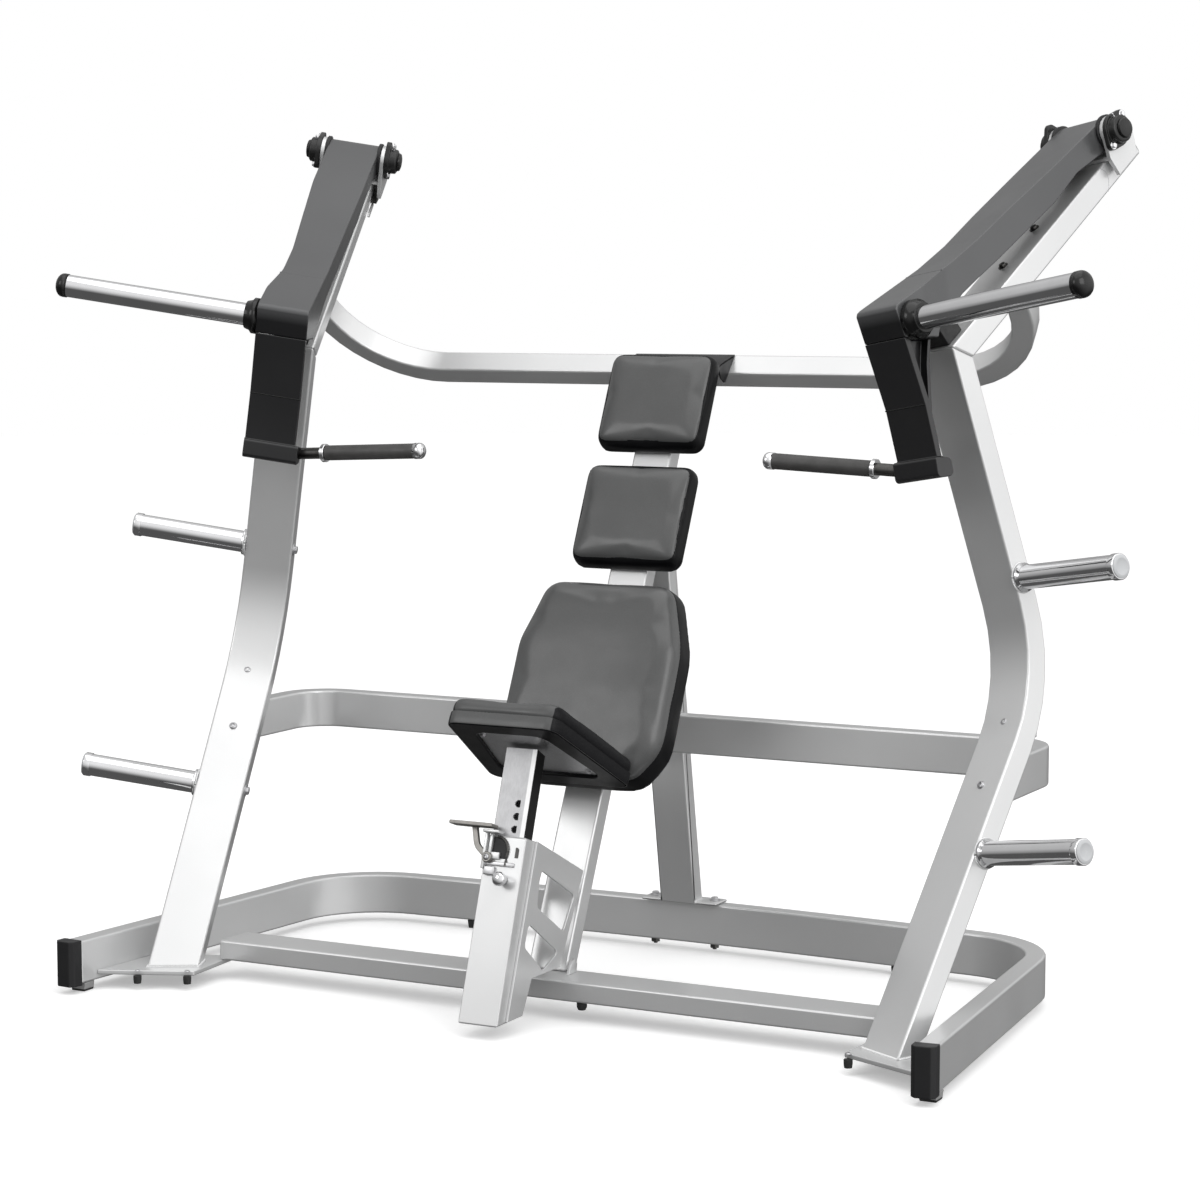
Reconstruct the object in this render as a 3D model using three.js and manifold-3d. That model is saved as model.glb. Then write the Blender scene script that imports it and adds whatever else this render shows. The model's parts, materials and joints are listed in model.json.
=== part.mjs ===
// Plate-loaded chest press with two independent arms.
// Millimetres, +Z up, front of the machine towards -Y, origin on the floor under its middle.

import * as THREE from 'three';
import { mergeVertices } from 'three/addons/utils/BufferGeometryUtils.js';
import Module from 'manifold-3d';

const wasm = await Module();
wasm.setup();

const DEG = Math.PI / 180;
const GAP = 0.3;                      // clearance between pieces that touch

// Side frame: upright, leaning tube, arm and horns share one tilted plane on each side.
const SIDE_YAW = 23.36 * DEG;         // turn about Z, front end outwards
const SIDE_ROLL = 8.94 * DEG;         // lean inwards towards the top
const SIDE_X = 930;                   // centre plane, along the side frame's own X

// Painted tubes
const TUBE_W = 110;                   // face width of uprights and leaning tubes
const TUBE_D = 52;                    // their depth
const BASE_W = 44;
const BASE_H = 94;
const FOOT_H = 20;

// Floor frame
const LEG_FRONT_X = 992;
const LEG_FRONT_Y = -572;
const LEG_SPLAY = 5.2 * DEG;
const REAR_CORNER_Y = 402;            // the rear bar bows back from its corners
const REAR_APEX_Y = 448;
const REAR_BOW_RADIUS = 8000;
const BASE_BEND = 210;
const CAP_LENGTH = 34;
const CAP_PROUD = 3;

// Upright centreline in side-frame Y and Z
const UPRIGHT_FOOT = [-65.3, -159];
const UPRIGHT_BELLY = [470, 589];
const KNEE = [315, 1260];
const BELLY_RADIUS = 365;
const LEAN_ANGLE = 37 * DEG;
const LEAN_LENGTH = 738;

// Arm pivot, side-frame Y and Z
const PIVOT = [812, 1722];
const SHAFT_R = 15;
const HUB_R = 31;
const ARM_HALF = 58;
const BRACKET_IN = 68;
const BRACKET_T = 10;

// Horns
const HORN_R = 25;
const HORN_AT = [182, 1326];
const HORN_COLLAR_R = 40;
const HORN_START = 1020;
const HORN_END = 1425;
const STORAGE_AT = { upper: [420, 796], lower: [233, 254] };

// Seat and back
const BACK_LEAN = 25 * DEG;
const RAIL_W = 92;
const RAIL_D = 45;
const BACK_ORIGIN = [193, 1019];      // front face of the back rail
const POST_LEAN = 18.9 * DEG;
const POST_W = 92;
const POST_D = 50;
const POST_TOP = [-389, 393];         // centre of the top end
const POST_FOOT_Z = 30;               // height of its level lower end
const SEAT_TILT = 30 * DEG;
const SEAT_FRONT = [-415, 692];

const PAINT = { color: 0xd9dadb, roughness: 0.32, metalness: 0.35 };
const ARM_PAINT = { color: 0x4a4a4a, roughness: 0.42, metalness: 0.25 };
const BLACK = { color: 0x141414, roughness: 0.45, metalness: 0.05 };
const RUBBER = { color: 0x1b1b1b, roughness: 0.85, metalness: 0.0 };
const CHROME = { color: 0xe6e6e6, roughness: 0.08, metalness: 1.0 };
const STEEL = { color: 0x9c9c9c, roughness: 0.35, metalness: 0.8 };
const VINYL = { color: 0x3a3b3c, roughness: 0.4, metalness: 0.0 };

const machine = new THREE.Group();

function addMesh(parent, name, geometry, look) {
  const mesh = new THREE.Mesh(geometry, new THREE.MeshStandardMaterial(look));
  mesh.name = name;
  parent.add(mesh);
  return mesh;
}

// ---------------------------------------------------------------- outlines

function unit(from, to) {
  const dx = to[0] - from[0];
  const dy = to[1] - from[1];
  const length = Math.hypot(dx, dy);
  return [dx / length, dy / length];
}

// Polyline whose corners are rounded: corner i of the list gets radii[i].
function filleted(points, radii, step = 9 * DEG) {
  const out = [points[0]];
  for (let i = 1; i < points.length - 1; i += 1) {
    const a = unit(points[i - 1], points[i]);
    const b = unit(points[i], points[i + 1]);
    const turn = Math.atan2(a[0] * b[1] - a[1] * b[0], a[0] * b[0] + a[1] * b[1]);
    const radius = radii[i];
    if (!radius) {
      out.push(points[i]);
      continue;
    }
    const reach = radius * Math.tan(Math.abs(turn) / 2);
    const side = Math.sign(turn);
    const start = [points[i][0] - a[0] * reach, points[i][1] - a[1] * reach];
    const centre = [start[0] - a[1] * radius * side, start[1] + a[0] * radius * side];
    const count = Math.max(4, Math.ceil(Math.abs(turn) / step));
    for (let k = 0; k <= count; k += 1) {
      const angle = (turn * k) / count;
      const cos = Math.cos(angle);
      const sin = Math.sin(angle);
      const rx = start[0] - centre[0];
      const ry = start[1] - centre[1];
      out.push([centre[0] + rx * cos - ry * sin, centre[1] + rx * sin + ry * cos]);
    }
  }
  out.push(points[points.length - 1]);
  return out;
}

// Closed outline of a bar of even thickness along a rounded polyline.
// A shear leans an end face off square: tangent of the lean, positive forwards on the left.
function strip(points, radii, thickness, startShear = 0, endShear = 0) {
  const line = filleted(points, radii);
  const half = thickness / 2;
  const left = [];
  const right = [];
  for (let i = 0; i < line.length; i += 1) {
    const before = unit(line[Math.max(i - 1, 0)], line[Math.max(i, 1)]);
    const last = line.length - 1;
    const after = unit(line[Math.min(i, last - 1)], line[Math.min(i + 1, last)]);
    const tx = (before[0] + after[0]) / 2;
    const ty = (before[1] + after[1]) / 2;
    const size = tx * tx + ty * ty;
    const shear = i === 0 ? startShear : i === last ? endShear : 0;
    const nx = -ty / size + tx * shear;
    const ny = tx / size + ty * shear;
    left.push([line[i][0] + nx * half, line[i][1] + ny * half]);
    right.push([line[i][0] - nx * half, line[i][1] - ny * half]);
  }
  return left.concat(right.reverse());
}

function shapeOf(outline, holes = []) {
  const toVectors = (list) => list.map(([x, y]) => new THREE.Vector2(x, y));
  const shape = new THREE.Shape(toVectors(outline));
  for (const hole of holes) shape.holes.push(new THREE.Path(toVectors(hole)));
  return shape;
}

function circle(x, y, radius, count = 32) {
  const points = [];
  for (let i = 0; i < count; i += 1) {
    const angle = (2 * Math.PI * i) / count;
    points.push([x + radius * Math.cos(angle), y + radius * Math.sin(angle)]);
  }
  return points;
}

// Rounded polygon: every corner gets its own radius.
function rounded(points, radii) {
  const first = points[0];
  const last = points[points.length - 1];
  const middle = [(first[0] + last[0]) / 2, (first[1] + last[1]) / 2];
  const loop = [middle, ...points, middle];
  return filleted(loop, [0, ...radii, 0], 15 * DEG).slice(1);
}

function box2(x0, y0, x1, y1) {
  return [[x0, y0], [x1, y0], [x1, y1], [x0, y1]];
}

// ---------------------------------------------------------------- solids

// Outline in X and Y, extruded from z0 to z1.
function prism(outline, z0, z1, holes = []) {
  const geometry = new THREE.ExtrudeGeometry(shapeOf(outline, holes), {
    depth: z1 - z0,
    bevelEnabled: false,
    steps: 1,
  });
  return geometry.translate(0, 0, z0);
}

// Outline in Y and Z, extruded along X from x0 to x1.
function sidePrism(outline, x0, x1, holes = []) {
  const turn = new THREE.Matrix4().makeBasis(
    new THREE.Vector3(0, 1, 0),
    new THREE.Vector3(0, 0, 1),
    new THREE.Vector3(1, 0, 0),
  );
  return prism(outline, x0, x1, holes).applyMatrix4(turn);
}

// Outline in X and Z, extruded along Y from y0 to y1.
function frontPrism(outline, y0, y1, holes = []) {
  const turn = new THREE.Matrix4().makeBasis(
    new THREE.Vector3(1, 0, 0),
    new THREE.Vector3(0, 0, 1),
    new THREE.Vector3(0, -1, 0),
  );
  return prism(outline, -y1, -y0, holes).applyMatrix4(turn);
}

// Turned body about X: profile pairs are [position along X, radius].
function turned(profile, segments = 32) {
  const points = profile.map(([x, r]) => new THREE.Vector2(r, x));
  const geometry = new THREE.LatheGeometry(points, segments);
  return geometry.rotateZ(-Math.PI / 2);
}

function solidOf(geometry) {
  const bare = geometry.clone();
  bare.deleteAttribute('normal');
  bare.deleteAttribute('uv');
  const merged = mergeVertices(bare, 1e-3);
  const mesh = new wasm.Mesh({
    numProp: 3,
    vertProperties: Float32Array.from(merged.attributes.position.array),
    triVerts: Uint32Array.from(merged.index.array),
  });
  return new wasm.Manifold(mesh);
}

function geometryOf(solid) {
  const mesh = solid.getMesh();
  const geometry = new THREE.BufferGeometry();
  geometry.setAttribute('position', new THREE.BufferAttribute(mesh.vertProperties, 3));
  geometry.setIndex(new THREE.BufferAttribute(mesh.triVerts, 1));
  geometry.computeVertexNormals();
  return geometry;
}

function join(...geometries) {
  let solid = solidOf(geometries[0]);
  for (const geometry of geometries.slice(1)) solid = solid.add(solidOf(geometry));
  return geometryOf(solid);
}

function cut(geometry, ...tools) {
  let solid = solidOf(geometry);
  for (const tool of tools) solid = solid.subtract(solidOf(tool));
  return geometryOf(solid);
}

function common(a, b) {
  return geometryOf(solidOf(a).intersect(solidOf(b)));
}

// ---------------------------------------------------------------- side frames

// World matrix of the right side frame; the left one is its mirror image.
const sideMatrix = new THREE.Matrix4()
  .makeRotationZ(-SIDE_YAW)
  .multiply(new THREE.Matrix4().makeRotationY(-SIDE_ROLL));
const sideInverse = sideMatrix.clone().invert();

function sideGroup(mirror) {
  const flip = new THREE.Group();
  flip.scale.x = mirror;
  const yaw = new THREE.Group();
  yaw.rotation.z = -SIDE_YAW;
  const roll = new THREE.Group();
  roll.rotation.y = -SIDE_ROLL;
  machine.add(flip);
  flip.add(yaw);
  yaw.add(roll);
  return roll;
}

const sides = [
  { name: 'right', mirror: 1 },
  { name: 'left', mirror: -1 },
];
for (const side of sides) {
  side.frame = sideGroup(side.mirror);
  side.world = new THREE.Group();
  side.world.scale.x = side.mirror;
  machine.add(side.world);
}

function onBothSides(name, geometry, look, where = 'frame') {
  for (const side of sides) addMesh(side[where], `${name}_${side.name}`, geometry, look);
}

// Directions of the leaning tube in side-frame Y and Z.
const leanAlong = [Math.cos(LEAN_ANGLE), Math.sin(LEAN_ANGLE)];
const leanUp = [-leanAlong[1], leanAlong[0]];

// Point at a distance along the leaning tube from the knee, and above its centreline.
function onLean(along, up) {
  return [
    KNEE[0] + leanAlong[0] * along + leanUp[0] * up,
    KNEE[1] + leanAlong[1] * along + leanUp[1] * up,
  ];
}

const kneeTurn = Math.atan2(KNEE[1] - UPRIGHT_BELLY[1], KNEE[0] - UPRIGHT_BELLY[0]) - LEAN_ANGLE;
const kneeShear = Math.tan(kneeTurn / 2);

function uprightOutline(grow) {
  return strip(
    [UPRIGHT_FOOT, UPRIGHT_BELLY, KNEE],
    [0, BELLY_RADIUS, 0],
    TUBE_D + 2 * grow,
    0,
    kneeShear,
  );
}

function leanOutline(grow) {
  const start = onLean(-grow, 0);
  const end = onLean(LEAN_LENGTH, 0);
  return strip([start, end], [0, 0], TUBE_D + 2 * grow, -kneeShear, 0);
}

function sideTube(outline, grow = 0) {
  const half = TUBE_W / 2 + grow;
  return sidePrism(outline, SIDE_X - half, SIDE_X + half);
}

// Everything below a height over the floor, seen from the side frame.
function belowFloorPlane(height) {
  const slab = new THREE.BoxGeometry(3000, 3000, 400);
  return slab.translate(0, 0, height - 200).applyMatrix4(sideInverse);
}

const PLATE_TOP = 42;
const PLATE_T = 10;

const upright = cut(sideTube(uprightOutline(0)), belowFloorPlane(PLATE_TOP + GAP));
onBothSides('upright', upright, PAINT);

// The leaning tube starts a hair past the mitre.
const leanTube = sideTube(
  strip([onLean(2 * GAP, 0), onLean(LEAN_LENGTH, 0)], [0, 0], TUBE_D, -kneeShear, 0),
);
onBothSides('lean_tube', leanTube, PAINT);

// ---------------------------------------------------------------- floor frame

function legCentreX(y) {
  return LEG_FRONT_X - Math.tan(LEG_SPLAY) * (y - LEG_FRONT_Y);
}

function baseFrame() {
  const cornerX = legCentreX(REAR_CORNER_Y);
  const line = [
    [LEG_FRONT_X, LEG_FRONT_Y],
    [cornerX, REAR_CORNER_Y],
    [0, REAR_APEX_Y],
    [-cornerX, REAR_CORNER_Y],
    [-LEG_FRONT_X, LEG_FRONT_Y],
  ];
  const outline = strip(line, [0, BASE_BEND, REAR_BOW_RADIUS, BASE_BEND, 0], BASE_W);
  return prism(outline, FOOT_H, FOOT_H + BASE_H);
}
addMesh(machine, 'base_frame', baseFrame(), PAINT);

// Black end cap with chamfered front edges, square to the leg.
function baseCap() {
  const half = BASE_W / 2 + CAP_PROUD;
  const chamfer = 9;
  const outline = [
    [half, 0],
    [-half, 0],
    [-half, -CAP_LENGTH + chamfer],
    [-half + chamfer, -CAP_LENGTH],
    [half - chamfer, -CAP_LENGTH],
    [half, -CAP_LENGTH + chamfer],
  ];
  return prism(outline.reverse(), FOOT_H - CAP_PROUD, FOOT_H + BASE_H + CAP_PROUD);
}
for (const side of sides) {
  const cap = addMesh(side.world, `base_cap_${side.name}`, baseCap(), BLACK);
  cap.position.set(LEG_FRONT_X, LEG_FRONT_Y - GAP, 0);
  cap.rotation.z = LEG_SPLAY;
}

// Rubber feet: short tapered blocks.
function foot(topHalf, bottomHalf, top) {
  const outline = [[-bottomHalf, 0], [bottomHalf, 0], [topHalf, top], [-topHalf, top]];
  return frontPrism(outline, -bottomHalf, bottomHalf);
}
const FOOT_FRONT_Y = -545;
const FOOT_REAR = [545, 419];
for (const side of sides) {
  const front = addMesh(side.world, `foot_front_${side.name}`, foot(20, 17, FOOT_H - GAP), RUBBER);
  front.position.set(legCentreX(FOOT_FRONT_Y), FOOT_FRONT_Y, 0);
  const rear = addMesh(side.world, `foot_rear_${side.name}`, foot(20, 17, FOOT_H - GAP), RUBBER);
  rear.position.set(FOOT_REAR[0], FOOT_REAR[1], 0);
}

// Floor plate of each upright, running out to the inside of the leg.
const FOOT_CENTRE = [848, -396];
function yawed(along, back) {
  return [
    FOOT_CENTRE[0] + Math.cos(SIDE_YAW) * along + Math.sin(SIDE_YAW) * back,
    FOOT_CENTRE[1] - Math.sin(SIDE_YAW) * along + Math.cos(SIDE_YAW) * back,
  ];
}
function legInsideX(y) {
  return legCentreX(y) - BASE_W / 2 / Math.cos(LEG_SPLAY) - 2 * GAP;
}
function toLeg(point) {
  // Slide outwards along the yawed plate edge until the inside of the leg is met.
  const slope = Math.tan(SIDE_YAW);
  let x = point[0];
  for (let i = 0; i < 20; i += 1) x = legInsideX(point[1] - slope * (x - point[0]));
  return [x, point[1] - slope * (x - point[0])];
}
const PLATE_FRONT = -72;
const PLATE_BACK = 98;
const basePlate = prism(
  [
    yawed(-56, PLATE_FRONT),
    toLeg(yawed(0, PLATE_FRONT)),
    toLeg(yawed(0, PLATE_BACK)),
    yawed(-115, PLATE_BACK),
  ],
  PLATE_TOP - PLATE_T,
  PLATE_TOP,
);
onBothSides('base_plate', basePlate, PAINT, 'world');

// Flat tube between the two floor plates.
const FRONT_BAR = { halfX: 785, y0: -318, y1: -212, z0: PLATE_TOP + GAP, z1: 86 };
const frontBar = prism(
  box2(-FRONT_BAR.halfX, FRONT_BAR.y0, FRONT_BAR.halfX, FRONT_BAR.y1),
  FRONT_BAR.z0,
  FRONT_BAR.z1,
);
addMesh(machine, 'front_crossbar', frontBar, PAINT);

// ---------------------------------------------------------------- crossbars

function bothSidesOf(geometry) {
  const right = geometry.clone().applyMatrix4(sideMatrix);
  const mirrored = right.clone().applyMatrix4(new THREE.Matrix4().makeScale(-1, 1, 1));
  const index = mirrored.index;
  if (index) {
    for (let i = 0; i < index.count; i += 3) {
      const kept = index.getX(i);
      index.setX(i, index.getX(i + 2));
      index.setX(i + 2, kept);
    }
  } else {
    const position = mirrored.attributes.position;
    const a = new THREE.Vector3();
    const c = new THREE.Vector3();
    for (let i = 0; i < position.count; i += 3) {
      a.fromBufferAttribute(position, i);
      c.fromBufferAttribute(position, i + 2);
      position.setXYZ(i, c.x, c.y, c.z);
      position.setXYZ(i + 2, a.x, a.y, a.z);
    }
  }
  return [right, mirrored];
}

// Middle crossbar: flat U in plan, its legs meeting the backs of the uprights.
const MID_BAR = { y: 290, x: 930, z0: 486, z1: 572, depth: 45, bend: 98, reach: -45 };
function midCrossbar() {
  const line = [
    [MID_BAR.x, MID_BAR.reach],
    [MID_BAR.x, MID_BAR.y],
    [-MID_BAR.x, MID_BAR.y],
    [-MID_BAR.x, MID_BAR.reach],
  ];
  const outline = strip(line, [0, MID_BAR.bend, MID_BAR.bend, 0], MID_BAR.depth);
  const bar = prism(outline, MID_BAR.z0, MID_BAR.z1);
  const upright0 = sideTube(uprightOutline(GAP), GAP);
  const ahead = upright0.clone().translate(0, -TUBE_D, 0);
  return cut(bar, ...bothSidesOf(upright0), ...bothSidesOf(ahead));
}
addMesh(machine, 'mid_crossbar', midCrossbar(), PAINT);

// Upper crossbar: U in a sloping plane, its legs rising forwards to the leaning tubes.
const UPPER_BAR = { y: 430, z: 1340, x: 867, slope: 40 * DEG, depth: 50, height: 55, bend: 240 };
function upperCrossbar() {
  const reach = 310;
  const line = [
    [UPPER_BAR.x, reach],
    [UPPER_BAR.x, 0],
    [-UPPER_BAR.x, 0],
    [-UPPER_BAR.x, reach],
  ];
  const outline = strip(line, [0, UPPER_BAR.bend, UPPER_BAR.bend, 0], UPPER_BAR.depth);
  const bar = prism(outline.reverse(), -UPPER_BAR.height / 2, UPPER_BAR.height / 2);
  bar.rotateX(Math.PI - UPPER_BAR.slope);
  bar.translate(0, UPPER_BAR.y, UPPER_BAR.z);
  const tube = sideTube(leanOutline(GAP), GAP);
  const ahead = tube.clone().translate(0, leanUp[0] * 45, leanUp[1] * 45);
  return cut(bar, ...bothSidesOf(tube), ...bothSidesOf(ahead));
}
addMesh(machine, 'upper_crossbar', upperCrossbar(), PAINT);

// ---------------------------------------------------------------- arm pivots

const tubeTop = TUBE_D / 2;           // face of the leaning tube above its centreline
const pivotAlong = (PIVOT[0] - KNEE[0]) * leanAlong[0] + (PIVOT[1] - KNEE[1]) * leanAlong[1];
const pivotUp = (PIVOT[0] - KNEE[0]) * leanUp[0] + (PIVOT[1] - KNEE[1]) * leanUp[1];

// Two cheek plates with rounded heads on a saddle that sits on the leaning tube.
function pivotBracket() {
  const headR = 34;
  const footHalf = 50;
  const base = tubeTop + GAP;
  const cheek = [];
  const low = -10;
  cheek.push(onLean(pivotAlong - footHalf, low));
  cheek.push(onLean(pivotAlong + footHalf - 22, low));
  cheek.push(onLean(pivotAlong + footHalf, base + 6));
  for (let i = 0; i <= 10; i += 1) {
    const angle = (180 * i * DEG) / 10;
    cheek.push(onLean(pivotAlong + headR * Math.cos(angle), pivotUp + headR * Math.sin(angle)));
  }
  cheek.push(onLean(pivotAlong - footHalf, base + 6));
  const bore = circle(PIVOT[0], PIVOT[1], SHAFT_R + 2, 24);
  const plates = [-1, 1].map((hand) => {
    const near = SIDE_X + hand * BRACKET_IN;
    const far = SIDE_X + hand * (BRACKET_IN + BRACKET_T);
    return sidePrism(cheek, Math.min(near, far), Math.max(near, far), [bore]);
  });
  const saddle = [
    onLean(pivotAlong - footHalf + 4, base),
    onLean(pivotAlong + footHalf - 4, base),
    onLean(pivotAlong + footHalf - 4, base + 8),
    onLean(pivotAlong - footHalf + 4, base + 8),
  ];
  const saddlePlate = sidePrism(saddle, SIDE_X - BRACKET_IN - 2, SIDE_X + BRACKET_IN + 2);
  return join(plates[0], plates[1], saddlePlate);
}
onBothSides('pivot_bracket', pivotBracket(), PAINT);

// Flange bearing: oval flange with a round housing, bored for the shaft.
function flangeBearing() {
  const flangeT = 11;
  const housingLength = 30;
  const ear = 34;
  const earR = 14;
  const bodyR = 36;
  const count = 12;
  const outline = [];
  const lean = Math.acos((bodyR - earR) / ear);
  for (let i = 0; i <= count; i += 1) {
    const angle = -lean + (2 * lean * i) / count;
    outline.push([ear + earR * Math.cos(angle), earR * Math.sin(angle)]);
  }
  for (let i = 0; i <= count; i += 1) {
    const angle = lean + ((Math.PI - 2 * lean) * i) / count;
    outline.push([bodyR * Math.cos(angle), bodyR * Math.sin(angle)]);
  }
  for (let i = 0; i <= count; i += 1) {
    const angle = Math.PI - lean + (2 * lean * i) / count;
    outline.push([-ear + earR * Math.cos(angle), earR * Math.sin(angle)]);
  }
  for (let i = 0; i <= count; i += 1) {
    const angle = Math.PI + lean + ((Math.PI - 2 * lean) * i) / count;
    outline.push([bodyR * Math.cos(angle), bodyR * Math.sin(angle)]);
  }
  const flange = sidePrism(outline, 0, flangeT);
  const housing = turned([[1, 0], [1, 31], [housingLength - 4, 29], [housingLength, 22], [housingLength, 0]]);
  const bore = turned([[-5, 0], [-5, SHAFT_R + GAP], [housingLength + 5, SHAFT_R + GAP], [housingLength + 5, 0]]);
  return cut(join(flange, housing), bore);
}
const bearing = flangeBearing();
const BEARING_TURN = 62 * DEG;        // long axis of the flange, from side-frame Y
for (const side of sides) {
  for (const [place, hand] of [['outer', 1], ['inner', -1]]) {
    const mesh = addMesh(side.frame, `bearing_${side.name}_${place}`, bearing, BLACK);
    mesh.position.set(SIDE_X + hand * (BRACKET_IN + BRACKET_T + GAP), PIVOT[0], PIVOT[1]);
    mesh.rotation.set(BEARING_TURN, hand > 0 ? 0 : Math.PI, 0, 'YXZ');
  }
}

const SHAFT_HALF = 104;
const shaft = turned([
  [-SHAFT_HALF, 0],
  [-SHAFT_HALF, SHAFT_R - 2],
  [-SHAFT_HALF + 2, SHAFT_R],
  [SHAFT_HALF - 2, SHAFT_R],
  [SHAFT_HALF, SHAFT_R - 2],
  [SHAFT_HALF, 0],
]);
shaft.translate(SIDE_X, PIVOT[0], PIVOT[1]);
onBothSides('pivot_shaft', shaft, STEEL);

// ---------------------------------------------------------------- arms

const ARM_SPLIT = 1291;               // height of the weld between arm and drop section
const ARM_FRONT = [[134, 1347], [158, 1264], [190, 1156], [208, 1050]];

// Box-section arm: side outline, then trimmed to its waisted width.
function arm() {
  const topEnd = unit([500, 1558], [745, 1722]);
  const topNormal = Math.atan2(topEnd[0], -topEnd[1]);
  const outline = [
    [134, 1347],
    [137, 1355],
    [146, 1361],
    [322, 1446],
    [405, 1494],
    [500, 1558],
  ];
  const heads = 10;
  for (let i = 0; i <= heads; i += 1) {
    const angle = topNormal - (Math.PI * i) / heads;
    outline.push([PIVOT[0] + HUB_R * Math.cos(angle), PIVOT[1] + HUB_R * Math.sin(angle)]);
  }
  outline.push([706, 1633], [625, 1566], [448, 1446], [344, 1380], [262, 1310]);
  outline.push([254, ARM_SPLIT + GAP], [151, ARM_SPLIT + GAP]);
  const bore = circle(PIVOT[0], PIVOT[1], SHAFT_R + GAP, 24);
  const side = sidePrism(outline.reverse(), SIDE_X - 61, SIDE_X + 61, [bore]);
  const outer = filleted([[58, 100], [58, 215], [43, 300], [43, 390], [61, 640], [61, 900]], [0, 90, 90, 120, 300, 0]);
  const inner = [[-61, 900], [-61, 620], [-57, 400], [-58, 100]];
  const plan = outer.concat(inner).map(([s, t]) => [SIDE_X + s, t]);
  return common(side, prism(plan, 1200, 1900));
}
onBothSides('arm', arm(), ARM_PAINT);

// Lower section: wide front plate, narrow rear strap, web between, and the handle block.
function armDrop() {
  const plateT = 15;
  const strapT = 9;
  const top = ARM_SPLIT - GAP;
  const front = [[150, top], ...ARM_FRONT.slice(1), [210, 1012]];
  const back = [[252, top], [242, 1240], [235, 1140], [239, 1075], [247, 1030]];
  const shifted = (line, by) => line.map(([t, w]) => [t + by, w]);
  const loop = (a, b) => a.concat(b.slice().reverse());
  const plate = sidePrism(loop(front, shifted(front, plateT)).reverse(), SIDE_X - 57, SIDE_X + 57);
  const strap = sidePrism(loop(shifted(back, -strapT), back), SIDE_X - 30, SIDE_X + 30);
  const web = sidePrism(loop(shifted(front, 2), shifted(back, -2)), SIDE_X - 12, SIDE_X + 12);
  const block = rounded([[206, 1008], [250, 1011], [248, 1048], [203, 1052]], [10, 10, 12, 6]);
  return join(plate, strap, web, sidePrism(block, SIDE_X - 66, SIDE_X + 58));
}
onBothSides('arm_drop', armDrop(), BLACK);

// ---------------------------------------------------------------- weight horns

const ARM_SIDE = SIDE_X + ARM_HALF + GAP;
const collarEnd = HORN_START - GAP;
const collar = turned([
  [ARM_SIDE, 0],
  [ARM_SIDE, HORN_COLLAR_R],
  [ARM_SIDE + 14, HORN_COLLAR_R],
  [ARM_SIDE + 19, HORN_COLLAR_R - 6],
  [collarEnd - 2, HORN_R + 6],
  [collarEnd, HORN_R + 4],
  [collarEnd, 0],
]);
collar.translate(0, HORN_AT[0], HORN_AT[1]);
onBothSides('horn_collar', collar, BLACK);

const horn = turned([
  [HORN_START, 0],
  [HORN_START, HORN_R],
  [HORN_END, HORN_R],
  [HORN_END, 0],
]);
horn.translate(0, HORN_AT[0], HORN_AT[1]);
onBothSides('weight_horn', horn, CHROME);

// Domed black end.
function hornCap() {
  const start = HORN_END + GAP;
  const radius = HORN_R + 1.5;
  const profile = [[start, 0], [start, radius], [start + 10, radius]];
  for (let i = 1; i <= 6; i += 1) {
    const angle = (90 * i * DEG) / 6;
    profile.push([start + 10 + 17 * Math.sin(angle), i === 6 ? 0 : radius * Math.cos(angle)]);
  }
  return turned(profile).translate(0, HORN_AT[0], HORN_AT[1]);
}
onBothSides('horn_cap', hornCap(), BLACK);

// Storage horns on the outer faces of the uprights: flange, bar and flat end cap.
function storageHorn(at) {
  const start = SIDE_X + TUBE_W / 2 + GAP;
  const end = 1250;
  const profile = [
    [start, 0],
    [start, 30],
    [start + 8, 30],
    [start + 10, HORN_R],
    [end - 16, HORN_R],
    [end - 16, HORN_R + 2],
    [end - 2, HORN_R + 2],
    [end, HORN_R],
    [end, 0],
  ];
  return turned(profile).translate(0, at[0], at[1]);
}
for (const [place, at] of Object.entries(STORAGE_AT)) {
  onBothSides(`storage_horn_${place}`, storageHorn(at), CHROME);
}

// ---------------------------------------------------------------- handles

// The handle runs inwards and slightly forwards from the block at the arm's lower end.
const HANDLE_ROOT = new THREE.Vector3(SIDE_X - 66, 236, 1034);
const HANDLE_DIRECTION = new THREE.Vector3(-0.915, -0.356, 0.186).normalize();
const BAR_R = 13;
const GRIP_R = 17;
const GRIP_START = 72;
const GRIP_END = 296;
const gripTurn = new THREE.Quaternion().setFromUnitVectors(new THREE.Vector3(1, 0, 0), HANDLE_DIRECTION);

function alongHandle(geometry) {
  const place = new THREE.Matrix4().compose(HANDLE_ROOT, gripTurn, new THREE.Vector3(1, 1, 1));
  return geometry.applyMatrix4(place);
}
function handleBar() {
  const raw = turned([[-20, 0], [-20, BAR_R], [GRIP_END, BAR_R], [GRIP_END, 0]], 24);
  const ring = turned([[62, 0], [62, GRIP_R + 3], [71, GRIP_R + 3], [71, 0]], 24);
  const block = sidePrism(box2(100, 900, 400, 1200), SIDE_X - 66 - GAP, SIDE_X);
  return cut(join(alongHandle(raw), alongHandle(ring)), block);
}
onBothSides('handle_bar', handleBar(), STEEL);

const grip = turned([
  [GRIP_START, BAR_R + GAP],
  [GRIP_START, GRIP_R],
  [GRIP_END, GRIP_R],
  [GRIP_END, BAR_R + GAP],
  [GRIP_START, BAR_R + GAP],
], 24);
onBothSides('handle_grip', alongHandle(grip), RUBBER);

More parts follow.
